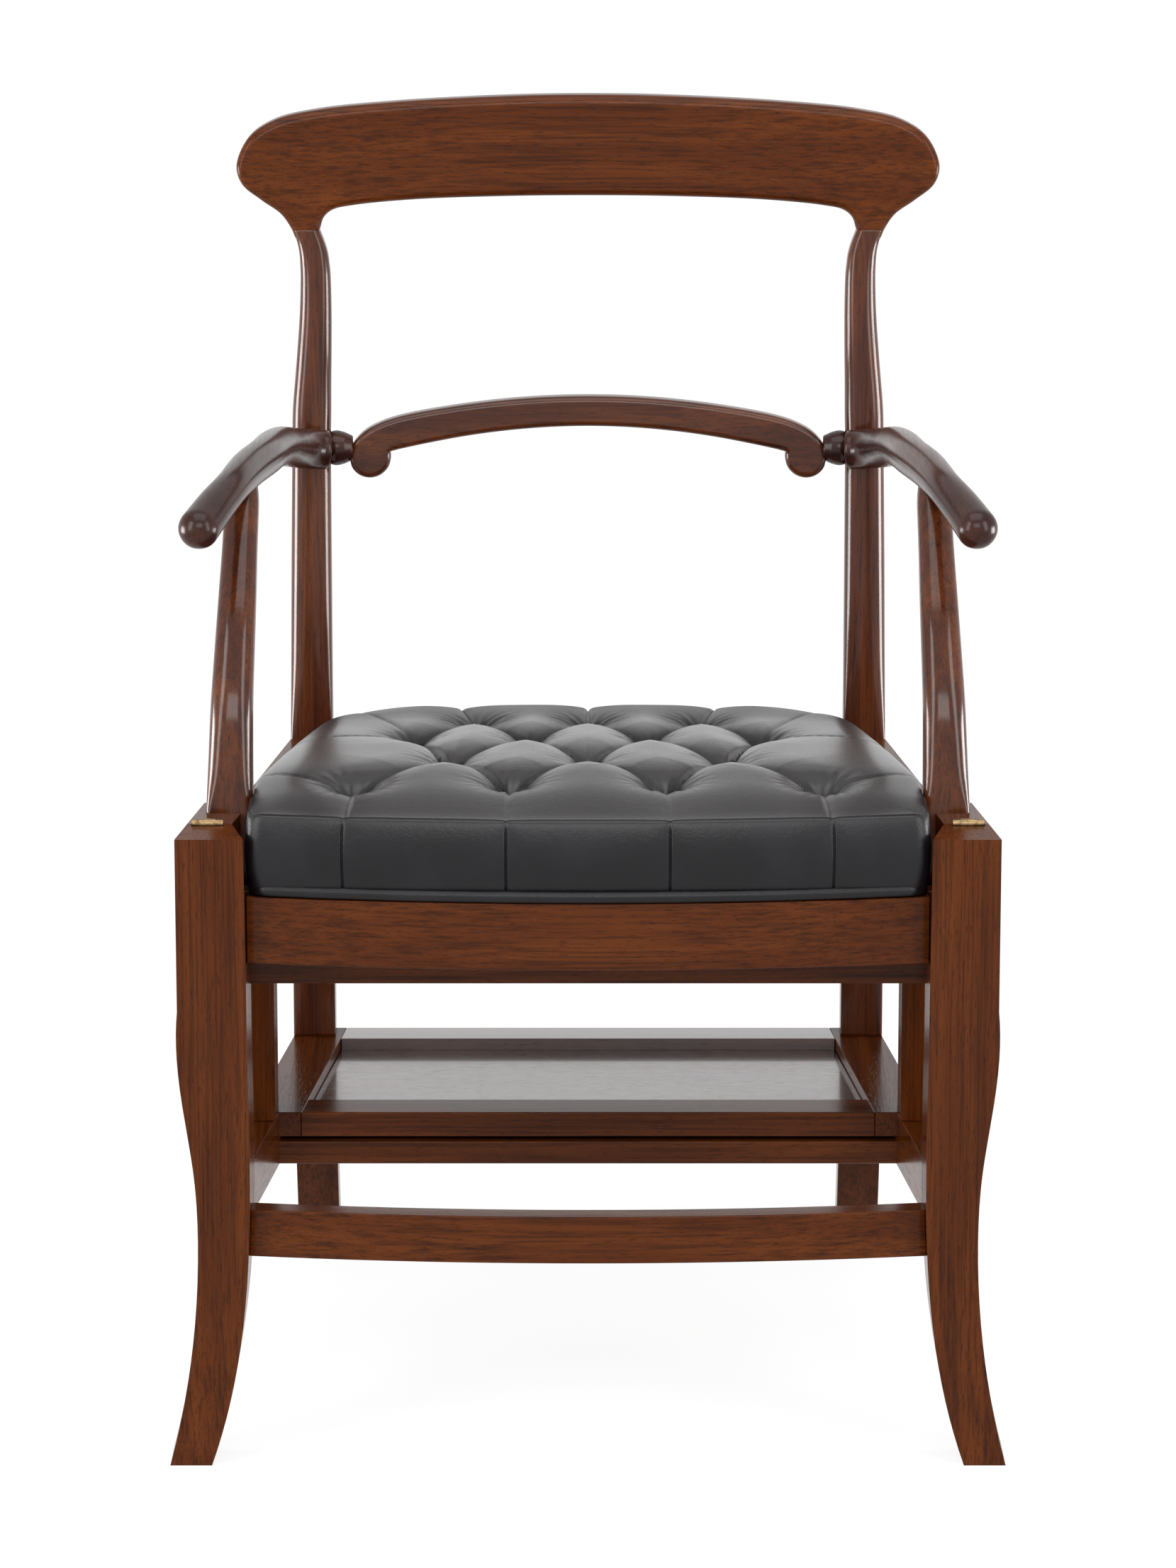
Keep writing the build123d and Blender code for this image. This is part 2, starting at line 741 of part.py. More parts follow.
# Arm post: lapped on the inside of the block, sweeping back up to the arm
post_front = hinge_back + arm_back
arm_crown_z = leg_height + max(arm_rises)
with BuildPart() as arm_post:
    with BuildSketch(Plane.XY.offset(leg_height - post_foot_drop)):
        with Locations((leg_outer - post_in_insets[0], back(post_front))):
            Rectangle(post_in_insets[0] - post_out_insets[0], post_base_deep, align=(Align.MIN, Align.MIN))
    extrude(amount=post_foot_drop)
    for rise, inset_in, inset_out, lean, deep, radius in zip(
        post_height_shares, post_in_insets, post_out_insets, post_leans, post_depths, post_rounds
    ):
        post_near = back(post_front + lean)
        with BuildSketch(Plane.XY.offset(leg_height + rise * (arm_crown_z - leg_height))):
            with BuildLine():
                post_left, post_right = leg_outer - inset_in, leg_outer - inset_out
                Polyline(*bar_section(post_left, post_right, post_near, post_near + deep, radius), close=True)
            make_face()
    loft()
    add(side_rail.part, mode=Mode.SUBTRACT)
    add(arm.part, mode=Mode.SUBTRACT)

# Cushion: crowned both ways, with drawn-in sides
cushion_foot = rail_bottom + board + rest_gap
cushion_back = back_leg_front - cushion_in
cushion_places = [cushion_back * share for share in cushion_depth_shares]
cushion_half = leg_inner - cushion_clear


def cushion_side(distance: float) -> float:
    """Half the cushion's width at one distance back: inside the posts, then along the side rails."""
    return min(cushion_half, rail_outer(distance) - rail_thick - cushion_back_clear)


def cushion_top(distance: float, across: float) -> float:
    """Height of the cushion's crown at one distance back and one distance from its middle."""
    rise = cushion_rises[-1]
    ends = list(zip(cushion_places, cushion_rises))
    for (near, near_rise), (far, far_rise) in zip(ends, ends[1:]):
        if near <= distance <= far:
            rise = slope_at(near_rise, far_rise, near, far, distance)
    places = [cushion_half * share for share in crown_shares]
    drop = crown_drops[-1] + crown_slope_share * (abs(across) - places[-1])
    for near, far, near_drop, far_drop in zip(places, places[1:], crown_drops, crown_drops[1:]):
        if abs(across) <= far:
            drop = slope_at(near_drop, far_drop, near, far, abs(across))
            break
    return leg_height + rise - drop


with BuildPart() as cushion:
    for distance in cushion_places:
        with BuildSketch(upright(distance)):
            with BuildLine():
                half = cushion_side(distance)
                shoulder = half - cushion_draw / 2
                across_places = [shoulder, *(cushion_half * share for share in reversed(crown_shares))]
                crown = [(x, cushion_top(distance, x)) for x in across_places]
                right = [(half - cushion_draw, cushion_foot), (half, cushion_foot + side_rise), *crown]
                left = [(-x, z) for x, z in reversed(right[:-1])]
                Polyline(*right, *left, close=True)
            make_face()
    loft(ruled=True)

# Cushion's front: bowed above the rail, and following the rail's back in the well below it
with BuildPart() as cushion_front_cut:
    with BuildSketch(Plane.XY.offset(cushion_foot - cut_over)):
        with BuildLine():
            ThreePointArc(
                (-corner_in_back, back(corner_back + soft_gap)),
                (0, back(front_rail_in - front_bow + seat_rail_deep + soft_gap)),
                (corner_in_back, back(corner_back + soft_gap)),
            )
            Polyline(
                (corner_in_back, back(corner_back + soft_gap)),
                (leg_span, back(corner_back + soft_gap)),
                (leg_span, back(-overall_depth)),
                (-leg_span, back(-overall_depth)),
                (-leg_span, back(corner_back + soft_gap)),
                (-corner_in_back, back(corner_back + soft_gap)),
            )
        make_face()
    extrude(amount=seat_rail_top + rest_gap - cushion_foot + cut_over)
    with BuildSketch(Plane.XY.offset(cushion_foot - cut_over)):
        with BuildLine():
            ThreePointArc(
                (-leg_inner, back(front_rail_in)),
                (0, back(front_rail_in - front_bow)),
                (leg_inner, back(front_rail_in)),
            )
            Polyline(
                (leg_inner, back(front_rail_in)),
                (leg_inner, back(-overall_depth)),
                (-leg_inner, back(-overall_depth)),
                (-leg_inner, back(front_rail_in)),
            )
        make_face()
    extrude(amount=leg_height)

# Piping along the foot of the cushion's front, with a short return at each corner
piping_z = seat_rail_top + rest_gap + piping_radius
piping_face = front_rail_in + piping_radius - piping_out
piping_half = cushion_half - piping_corner
piping_bend = asin(piping_half / ((piping_half**2 + front_bow**2) / (2 * front_bow)))
piping_side = piping_half + piping_corner * (1 - sin(piping_bend))
piping_side_front = piping_face + piping_corner * cos(piping_bend)
piping_end = hinge_back + arm_back - piping_radius
with BuildPart() as piping:
    with BuildLine(Plane.XY.offset(piping_z)) as piping_line:
        piping_left, piping_right = (-piping_half, back(piping_face)), (piping_half, back(piping_face))
        front = ThreePointArc(piping_left, (0, back(piping_face - front_bow)), piping_right)
        for start, side, along in (
            (piping_right, piping_side, front % 1),
            (piping_left, -piping_side, -(front % 0)),
        ):
            TangentArc(start, (side, back(piping_side_front)), tangent=along)
            Line((side, back(piping_side_front)), (side, back(piping_end)))
    with BuildSketch(Plane(origin=(piping_side, back(piping_end), piping_z), z_dir=(0, -1, 0))):
        RegularPolygon(piping_radius, piping_faces)
    sweep(path=piping_line.wire())

# Rebate for the piping, open to the front and the sides
groove_half = piping_side - piping_radius - soft_gap
groove_deep = piping_face + piping_radius + soft_gap
with BuildPart() as piping_groove:
    with BuildSketch(Plane.XY.offset(seat_rail_top)):
        with BuildLine():
            ThreePointArc(
                (-groove_half + groove_corner, back(groove_deep)),
                (0, back(groove_deep - front_bow)),
                (groove_half - groove_corner, back(groove_deep)),
            )
            Polyline(
                (groove_half - groove_corner, back(groove_deep)),
                (groove_half, back(groove_deep + groove_corner)),
                (groove_half, back(piping_end + soft_gap)),
                (leg_span, back(piping_end + soft_gap)),
                (leg_span, back(-overall_depth)),
                (-leg_span, back(-overall_depth)),
                (-leg_span, back(piping_end + soft_gap)),
                (-groove_half, back(piping_end + soft_gap)),
                (-groove_half, back(groove_deep + groove_corner)),
                (-groove_half + groove_corner, back(groove_deep)),
            )
        make_face()
    extrude(amount=rest_gap + 2 * piping_radius + soft_gap)

# Buttoned rows: four across and three between, turn about, joined by pleats in diamonds
tuft_rows = []
for depth_share, place_shares in zip(tuft_depth_shares, tuft_place_shares):
    row_shares = sorted({side * share for share in place_shares for side in (-1, 1)})
    tuft_rows.append([(share * cushion_half, cushion_back * depth_share) for share in row_shares])
pleats = [
    (near, far)
    for near_row, far_row in zip(tuft_rows, tuft_rows[1:])
    for near in near_row
    for far in far_row
    if abs(near[0] - far[0]) < pleat_reach_share * leg_outer
]
pleats += [(tuft, (tuft[0], front_rail_in - front_bow - cut_over)) for tuft in tuft_rows[0]]
pleats += [(tuft, (tuft[0], cushion_back + cut_over)) for tuft in tuft_rows[-1]]


def cushion_spot(place: tuple, sink: float) -> Vector:
    """Point this far below the cushion's crown at one place."""
    x, distance = place
    return Vector(x, back(distance), cushion_top(distance, x) - sink)


with BuildPart() as seat_cushion:
    add(cushion.part)
    add(cushion_front_cut.part, mode=Mode.SUBTRACT)
    add(piping_groove.part, mode=Mode.SUBTRACT)
    for near, far in pleats:
        start, end = cushion_spot(near, pleat_sink), cushion_spot(far, pleat_sink)
        run = end - start
        with BuildSketch(Plane(origin=start, x_dir=Vector(-run.Y, run.X, 0), z_dir=run)):
            with BuildLine():
                pleat_top = pleat_sink + pleat_over
                Polyline((0, 0), (pleat_half, pleat_top), (-pleat_half, pleat_top), close=True)
            make_face()
        extrude(amount=run.length, mode=Mode.SUBTRACT)
    for tuft in [tuft for row in tuft_rows for tuft in row]:
        tuft_plane = Plane(cushion_spot(tuft, tuft_sink))
        for height, radius in ((0, tuft_floor_radius), (tuft_sink + tuft_over, tuft_top_radius)):
            with BuildSketch(tuft_plane.offset(height)):
                RegularPolygon(radius, tuft_faces)
        loft(ruled=True, mode=Mode.SUBTRACT)

# Hinge: knuckles on the seam at the top, leaves let into the faces of the seam
hinge_left = leg_outer - hinge_outer_inset - hinge_width
centre_width = hinge_width * centre_knuckle_share
hinge_middle = hinge_left + hinge_width / 2


def hinge_plane(start: float) -> Plane:
    """Plane square to the hinge pin, this far along the hinge."""
    return Plane(origin=(hinge_left + start, axis_y, axis_z), x_dir=(0, 1, 0), z_dir=(1, 0, 0))


side_width = (hinge_width - centre_width) / 2
with BuildPart() as hinge_leaf_base:
    with BuildSketch(hinge_plane(side_width + pin_clear)):
        Circle(centre_knuckle_radius)
        with Locations((-seam_gap / 2, 0)):
            Rectangle(leaf_thick, leaf_height, align=(Align.MAX, Align.MAX))
        Circle(pin_radius, mode=Mode.SUBTRACT)
    extrude(amount=centre_width - 2 * pin_clear)
    with BuildSketch(Plane.XZ.offset(-(axis_y - seam_gap / 2))):
        with Locations((hinge_middle, leg_height - centre_knuckle_radius - knuckle_clear)):
            Rectangle(hinge_width, leaf_height, align=(Align.CENTER, Align.MAX))
    extrude(amount=leaf_thick)

with BuildPart() as hinge_leaf_seat:
    for start in (0, side_width + centre_width):
        with BuildSketch(hinge_plane(start)):
            Circle(knuckle_radius)
            with Locations((seam_gap / 2, 0)):
                Rectangle(leaf_thick, leaf_height, align=(Align.MIN, Align.MAX))
            Circle(pin_radius + pin_clear, mode=Mode.SUBTRACT)
        extrude(amount=side_width)
    with BuildSketch(Plane.XZ.offset(-(axis_y + seam_gap / 2))):
        with Locations((hinge_middle, leg_height - centre_knuckle_radius - knuckle_clear)):
            Rectangle(hinge_width, leaf_height, align=(Align.CENTER, Align.MAX))
    extrude(amount=-leaf_thick)

with BuildPart() as hinge_pin:
    with BuildSketch(hinge_plane(0)):
        Circle(pin_radius)
    extrude(amount=hinge_width)

with BuildPart() as hinge_room:
    with BuildSketch(hinge_plane(-knuckle_clear)):
        Circle(centre_knuckle_radius + knuckle_clear)
    extrude(amount=hinge_width + 2 * knuckle_clear)

# Wood cut away for the hinge
with BuildPart() as leg_done:
    add(front_leg.part)
    add(hinge_room.part, mode=Mode.SUBTRACT)
    add(hinge_leaf_base.part, mode=Mode.SUBTRACT)

with BuildPart() as rail_done:
    add(side_rail.part)
    add(hinge_room.part, mode=Mode.SUBTRACT)
    add(hinge_leaf_seat.part, mode=Mode.SUBTRACT)

save_pair(leg_done.part, "front_leg")
save_pair(side_stretcher.part, "side_stretcher")
save_pair(back_leg.part, "back_leg")
save_pair(step_post.part, "step_post")
save_pair(hinge_leaf_base.part, "hinge_leaf_base")
save_pair(hinge_pin.part, "hinge_pin")
save(front_stretcher.part, "front_stretcher")
save(back_stretcher.part, "back_stretcher")
save(step_1.part, "step_1")
save(step_2.part, "step_2")
save_pair(rail_done.part, "seat_side_rail")
save(seat_front_rail.part, "seat_front_rail")
save(seat_back_rail.part, "seat_back_rail")
save(step_3.part, "step_3")
save_pair(tread_post.part, "tread_post")
save_pair(tread_side.part, "tread_side")
save_pair(stile.part, "back_stile")
save(crest.part, "crest_rail")
save(back_rail.part, "back_rail")
save_pair(back_peg.part, "back_peg")
save_pair(arm.part, "arm")
save_pair(arm_post.part, "arm_post")
save_pair(hinge_leaf_seat.part, "hinge_leaf_seat")
save(seat_cushion.part, "seat_cushion")
save(piping.part, "cushion_piping")
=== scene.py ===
"""Looks of the library step chair: polished rosewood, deep-buttoned leather and brass."""

import logging
import math
from dataclasses import dataclass
from enum import Enum
from functools import cache

import bpy
import numpy as np
from mathutils import Euler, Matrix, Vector
from mathutils.geometry import delaunay_2d_cdt


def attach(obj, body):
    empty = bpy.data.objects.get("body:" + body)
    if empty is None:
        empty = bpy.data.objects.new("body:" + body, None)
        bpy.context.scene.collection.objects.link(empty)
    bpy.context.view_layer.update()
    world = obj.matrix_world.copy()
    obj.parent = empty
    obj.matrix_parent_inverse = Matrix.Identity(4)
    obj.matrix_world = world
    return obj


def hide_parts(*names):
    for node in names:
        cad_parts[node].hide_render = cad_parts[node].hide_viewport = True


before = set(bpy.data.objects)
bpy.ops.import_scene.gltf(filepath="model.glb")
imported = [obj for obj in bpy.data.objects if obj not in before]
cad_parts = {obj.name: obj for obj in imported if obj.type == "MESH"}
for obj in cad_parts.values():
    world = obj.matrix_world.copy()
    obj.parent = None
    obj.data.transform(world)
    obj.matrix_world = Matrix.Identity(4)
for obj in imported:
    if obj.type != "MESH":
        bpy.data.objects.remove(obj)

LOG = logging.getLogger("step_chair")
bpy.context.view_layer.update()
LEG_FACE = -259.0  # y of the front legs' front face, in millimetres
MM_PER_METRE = 1000
Colour = tuple[float, float, float]
Point = tuple[float, float, float]


class Grain(Enum):
    """Direction that the fibres of a piece of wood run in."""

    ACROSS = "x"
    DEEP = "y"
    UPRIGHT = "z"

    def stretch(self, ratio: float) -> Point:
        """Scale of a texture on each axis that makes its marks ratio times longer than wide."""
        return tuple(1 / ratio if axis == self.value else 1.0 for axis in "xyz")


class Value:
    """A shader socket that takes part in Python expressions and adds the Math node each needs."""

    def __init__(self, tree: "Tree", socket: bpy.types.NodeSocket) -> None:
        """Wraps one output socket of a tree."""
        self.tree = tree
        self.socket = socket

    def _math(self, operation: str, first: object, second: object) -> "Value":
        """Adds a Math node for one operation on two values."""
        return self.tree.node(
            "ShaderNodeMath", {"operation": operation}, {"Value": first, "Value_001": second}
        )

    def __add__(self, other: object) -> "Value":
        """Sum."""
        return self._math("ADD", self, other)

    __radd__ = __add__

    def __sub__(self, other: object) -> "Value":
        """Difference."""
        return self._math("SUBTRACT", self, other)

    def __rsub__(self, other: object) -> "Value":
        """Difference with this value taken away."""
        return self._math("SUBTRACT", other, self)

    def __mul__(self, other: object) -> "Value":
        """Product."""
        return self._math("MULTIPLY", self, other)

    __rmul__ = __mul__

    def step(self, low: float, high: float) -> "Value":
        """Smooth step of this value, 0 below low and 1 above high.

        Args:
            low: where the step starts.
            high: where it ends.

        Returns:
            A mask from 0 to 1.
        """
        return self.tree.node(
            "ShaderNodeMapRange",
            {"interpolation_type": "SMOOTHSTEP"},
            {"Value": self, "From Min": low, "From Max": high},
            "Result",
        )


class Tree:
    """A node tree under construction."""

    def __init__(self, nodes: bpy.types.NodeTree) -> None:
        """Starts with an empty tree."""
        self.nodes = nodes
        nodes.nodes.clear()

    def node(self, kind: str, settings: dict, inputs: dict, output: str = "") -> Value:
        """Adds one node.

        Args:
            kind: type of the node.
            settings: its own options, which are set first.
            inputs: a number, colour, vector or Value for each socket that isn't left as it is.
            output: the socket to hand back, or the first where it is empty.

        Returns:
            That output as a Value.
        """
        made = self.nodes.nodes.new(kind)
        for name, value in settings.items():
            setattr(made, name, value)
        for name, value in inputs.items():
            socket = self._socket(made.inputs, name)
            if isinstance(value, Value):
                self.nodes.links.new(value.socket, socket)
            else:
                socket.default_value = value
        return Value(self, self._socket(made.outputs, output) if output else made.outputs[0])

    @staticmethod
    def _socket(sockets: object, name: str) -> bpy.types.NodeSocket:
        """The socket of that identifier, or else of that name."""
        return next((s for s in sockets if s.identifier == name), None) or sockets[name]

    def blend(self, mask: object, first: object, second: object) -> Value:
        """Mixes two colours.

        Args:
            mask: share of the second colour.
            first: colour where the mask is 0.
            second: colour where the mask is 1.

        Returns:
            The mixed colour.
        """
        ends = {"A_Color": first, "B_Color": second}
        for name, end in ends.items():
            if isinstance(end, tuple):
                ends[name] = (*end, 1.0)
        return self.node(
            "ShaderNodeMix", {"data_type": "RGBA"}, {"Factor_Float": mask, **ends}, "Result_Color"
        )

    def scaled(self, vector: Value, by: Point) -> Value:
        """A vector multiplied axis by axis."""
        return self.node(
            "ShaderNodeVectorMath", {"operation": "MULTIPLY"}, {"Vector": vector, "Vector_001": by}
        )

    def moved(self, vector: Value, by: Value) -> Value:
        """A vector with another added."""
        return self.node(
            "ShaderNodeVectorMath", {"operation": "ADD"}, {"Vector": vector, "Vector_001": by}
        )

    def part(self, vector: Value, axis: str) -> Value:
        """One component of a vector."""
        return self.node("ShaderNodeSeparateXYZ", {}, {"Vector": vector}, axis)

    def place(self) -> Value:
        """The point in the object's own coordinates, in metres."""
        return self.node("ShaderNodeTexCoord", {}, {}, "Object")

    def noise(self, at: Value, scale: float, detail: float = 3.0, rough: float = 0.5) -> Value:
        """Soft noise from 0 to 1.

        Args:
            at: where it is read.
            scale: features in a metre.
            detail: octaves.
            rough: how strong the finer octaves are.

        Returns:
            The noise.
        """
        inputs = {"Vector": at, "Scale": scale, "Detail": detail, "Roughness": rough}
        return self.node("ShaderNodeTexNoise", {}, inputs)

    def bump(self, height: Value, depth: float) -> Value:
        """Normal of a surface with that relief.

        Args:
            height: relief from 0 to 1.
            depth: metres between 0 and 1.

        Returns:
            The normal.
        """
        return self.node("ShaderNodeBump", {}, {"Height": height, "Distance": depth})

    def shown_paper(self) -> tuple[Value, Value]:
        """Masks of the rays that are to see white paper.

        Returns:
            The mask of the camera's rays alone, and that of all such rays.
        """
        camera, glossy, through = (
            self.node("ShaderNodeLightPath", {}, {}, f"Is {ray} Ray")
            for ray in ("Camera", "Glossy", "Transmission")
        )
        return camera, camera + glossy + through

    def surface(self, **inputs: object) -> None:
        """Ends the tree with a Principled shader.

        Args:
            inputs: its sockets, with underscores for spaces.
        """
        named = {}
        for name, value in inputs.items():
            named[name.replace("_", " ").title().replace("Ior", "IOR")] = value
        self.end(self.node("ShaderNodeBsdfPrincipled", {}, named))

    def end(self, shader: Value, kind: str = "ShaderNodeOutputMaterial") -> None:
        """Links a shader to a new output node."""
        output = self.nodes.nodes.new(kind)
        self.nodes.links.new(shader.socket, output.inputs["Surface"])


def fresh_material(name: str) -> tuple[bpy.types.Material, Tree]:
    """A new material.

    Args:
        name: its name.

    Returns:
        The material and its empty tree.
    """
    material = bpy.data.materials.new(name)
    material.use_nodes = True
    return material, Tree(material.node_tree)


@dataclass(frozen=True)
class Marks:
    """One layer of marks along the grain of a piece of wood."""

    length: float  # times their width
    count: float  # in a metre, across the grain
    octaves: float
    rough: float
    low: float  # noise where a mark starts
    high: float  # noise where it is full
    share: float = 1.0  # of the layer's colour in a full mark

    def noise(self, tree: Tree, at: Value, grain: Grain) -> Value:
        """The layer's noise.

        Args:
            tree: the material's tree.
            at: where it is read.
            grain: direction of the fibres.

        Returns:
            The noise, from 0 to 1.
        """
        drawn_out = tree.scaled(at, grain.stretch(self.length))
        return tree.noise(drawn_out, self.count, self.octaves, self.rough)

    def mask(self, tree: Tree, at: Value, grain: Grain) -> Value:
        """Where the marks are, from the same values as the noise."""
        return self.noise(tree, at, grain).step(self.low, self.high)


@dataclass(frozen=True)
class Rosewood:
    """French-polished rosewood: straight dark streaks, finer threads and short open pores."""

    name: str
    mid: Colour = (0.081, 0.0182, 0.0029)
    dark: Colour = (0.013, 0.0035, 0.0013)
    light: Colour = (0.118, 0.029, 0.0048)
    pore: Colour = (0.01, 0.0035, 0.002)
    tones: Marks = Marks(15, 46, 4, 0.5, 0.38, 0.68)
    bands: Marks = Marks(34, 190, 5, 0.6, 0.48, 0.7, 0.44)
    threads: Marks = Marks(60, 520, 3, 0.55, 0.44, 0.68, 0.5)
    pores: Marks = Marks(16, 1500, 2, 0.5, 0.58, 0.68, 0.6)
    gloss: float = 0.2
    mean_haze: float = 0.06
    tone_haze: float = 0.1
    thread_haze: float = 0.05
    sheen: float = 0.11
    coat: float = 0.06
    film: float = 0.1
    wander: float = 0.003
    bends: float = 7.0
    relief: float = 0.00004
    pore_relief: float = 0.7
    thread_relief: float = 0.3

    @cache
    def material(self, grain: Grain) -> bpy.types.Material:
        """The finish for pieces whose fibres run one way.

        Args:
            grain: direction of the fibres.

        Returns:
            The material.
        """
        made, tree = fresh_material(f"{self.name}_{grain.name.lower()}")
        place = tree.place()
        drift = tree.node(
            "ShaderNodeTexNoise", {}, {"Vector": place, "Scale": self.bends, "Detail": 2.0}, "Color"
        )
        bent = tree.moved(place, tree.scaled(drift, (self.wander,) * 3))
        tone = self.tones.noise(tree, bent, grain)
        band = self.bands.mask(tree, bent, grain)
        thread = self.threads.mask(tree, bent, grain)
        pore = self.pores.mask(tree, bent, grain)
        body = tree.blend(tone.step(self.tones.low, self.tones.high), self.mid, self.light)
        body = tree.blend(band * self.bands.share, body, self.dark)
        body = tree.blend(thread * self.threads.share, body, self.dark)
        body = tree.blend(pore * self.pores.share, body, self.pore)
        haze = thread * self.thread_haze + tone * self.tone_haze
        relief = 1 - pore * self.pore_relief - thread * self.thread_relief
        tree.surface(
            base_color=body,
            roughness=haze + (self.gloss - self.mean_haze),
            normal=tree.bump(relief, self.relief),
            specular_ior_level=self.sheen,
            coat_weight=self.coat,
            coat_roughness=self.film,
        )
        return made


@dataclass(frozen=True)
class Leather:
    """Black upholstery leather with a fine pebble and a dressing that shines on the seat's top."""

    name: str
    base: Colour = (0.0042, 0.0033, 0.0046)
    worn: Colour = (0.0082, 0.0068, 0.0088)
    worn_from: float = 0.35
    worn_full: float = 0.75
    blotches: float = 24.0
    creases: float = 260.0
    pebbles: float = 850.0
    pebble_relief: float = 0.5
    relief: float = 0.00016
    gloss: float = 0.36
    mean_haze: float = 0.11
    crease_haze: float = 0.12
    blotch_haze: float = 0.1
    sheen: float = 0.32
    dressing: float = 0.68
    film: float = 0.27
    rubbed: float = 0.3
    rubbed_to: float = -0.25
    dressed_from: float = -0.07
    dry_to: float = 0.459
    top_from: float = 0.468

    def material(self) -> bpy.types.Material:
        """The finish, with its dressing above the seat's seam and rubbed off towards the front.

        Returns:
            The material.
        """
        made, tree = fresh_material(self.name)
        place = tree.place()
        pebble = tree.node(
            "ShaderNodeTexVoronoi",
            {"feature": "SMOOTH_F1"},
            {"Vector": place, "Scale": self.pebbles},
        )
        crease = tree.noise(place, self.creases, detail=5, rough=0.62)
        blotch = tree.noise(place, self.blotches, detail=3)
        top = tree.part(place, "Z").step(self.dry_to, self.top_from)
        kept = tree.part(place, "Y").step(self.rubbed_to, self.dressed_from)
        dressed = top * (kept * (1 - self.rubbed) + self.rubbed)
        haze = crease * self.crease_haze + blotch * self.blotch_haze
        tree.surface(
            base_color=tree.blend(
                blotch.step(self.worn_from, self.worn_full), self.base, self.worn
            ),
            roughness=haze + (self.gloss - self.mean_haze),
            normal=tree.bump(pebble * self.pebble_relief + crease, self.relief),
            specular_ior_level=self.sheen,
            coat_weight=dressed * self.dressing,
            coat_roughness=self.film,
        )
        return made


@dataclass(frozen=True)
class Brass:
    """Old brass, aged brown in patches and finely scratched."""

    name: str
    base: Colour = (0.27, 0.185, 0.095)
    aged: Colour = (0.1, 0.066, 0.034)
    aged_from: float = 0.42
    aged_full: float = 0.7
    stains: float = 240.0
    scratches: float = 2200.0
    scratch_length: float = 20.0
    relief: float = 0.00003
    gloss: float = 0.32
    mean_haze: float = 0.08
    stain_haze: float = 0.25

    def material(self) -> bpy.types.Material:
        """The finish, stained in patches and finely scratched.

        Returns:
            The material.
        """
        made, tree = fresh_material(self.name)
        place = tree.place()
        stain = tree.noise(place, self.stains, detail=5, rough=0.65)
        drawn_out = tree.scaled(place, Grain.ACROSS.stretch(self.scratch_length))
        scratch = tree.noise(drawn_out, self.scratches, detail=2)
        tree.surface(
            base_color=tree.blend(stain.step(self.aged_from, self.aged_full), self.base, self.aged),
            metallic=1.0,
            roughness=stain * self.stain_haze + (self.gloss - self.mean_haze),
            normal=tree.bump(scratch, self.relief),
        )
        return made


PLAIN_POLISH = Rosewood("rosewood")
DARK_POLISH = Rosewood(
    "rosewood_dark",
    mid=(0.026, 0.007, 0.0052),
    dark=(0.009, 0.0035, 0.003),
    light=(0.052, 0.0135, 0.007),
    gloss=0.26,
    sheen=0.1,
    coat=0.3,
    film=0.2,
    relief=0.00001,
)
LIMB_POLISH = Rosewood(
    "rosewood_limb",
    mid=(0.058, 0.0132, 0.0045),
    dark=(0.012, 0.0036, 0.002),
    light=(0.102, 0.026, 0.0068),
    gloss=0.22,
    sheen=0.08,
    coat=0.5,
    film=0.13,
)
PANEL_POLISH = Rosewood(
    "rosewood_panel",
    mid=(0.06, 0.0165, 0.0075),
    dark=(0.018, 0.006, 0.0035),
    light=(0.09, 0.026, 0.0095),
    gloss=0.23,
    sheen=1.0,
    coat=0.9,
    relief=0.00009,
)


@dataclass
class Joinery:
    """The square wooden nodes of the frame: grain direction and broken edges."""

    edge: float = 0.0009
    edge_steps: int = 2
    sharp: float = 32.0
    weld: float = 0.00001
    groups: tuple = (
        (
            PLAIN_POLISH,
            Grain.ACROSS,
            ("front_stretcher", "back_stretcher", "seat_front_rail", "seat_back_rail"),
        ),
        (PLAIN_POLISH, Grain.ACROSS, ("step_1", "step_2", "step_3", "tread_front")),
        (PLAIN_POLISH, Grain.DEEP, ("side_stretcher", "seat_side_rail", "tread_side")),
        (PLAIN_POLISH, Grain.UPRIGHT, ("front_leg", "back_leg", "step_post", "tread_post")),
        (PANEL_POLISH, Grain.ACROSS, ("tread_back", "tread_panel")),
    )

    def dress(self) -> None:
        """Gives every square wooden node its finish and its broken edges."""
        for polish, grain, families in self.groups:
            for name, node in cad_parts.items():
                if name.removesuffix("_l").removesuffix("_r") in families:
                    dress_node(node, polish.material(grain))
                    self.soften(node)
                    LOG.info("dressed %s", name)

    def soften(self, node: bpy.types.Object) -> None:
        """Breaks a node's sharp edges with a small round, as sanding and polish do.

        Args:
            node: the node.
        """
        weld = node.modifiers.new("Join", "WELD")
        weld.merge_threshold = self.weld
        bevel = node.modifiers.new("Edge", "BEVEL")
        bevel.width = self.edge
        bevel.segments = self.edge_steps
        bevel.limit_method = "ANGLE"
        bevel.angle_limit = math.radians(self.sharp)
        bevel.use_clamp_overlap = True
        normals = node.modifiers.new("Shade", "WEIGHTED_NORMAL")
        normals.keep_sharp = False


def dress_node(node: bpy.types.Object, material: bpy.types.Material) -> None:
    """Puts one material on all of a node."""
    node.data.materials.clear()
    node.data.materials.append(material)


@dataclass
class Hinges:
    """The brass hinges on the seams between the legs and the seat."""

    finish: Brass = Brass("brass")

    def dress(self) -> None:
        """Gives the hinge nodes their finish."""
        material = self.finish.material()
        for name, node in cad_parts.items():
            if name.startswith("hinge_"):
                dress_node(node, material)
                LOG.info("dressed %s", name)


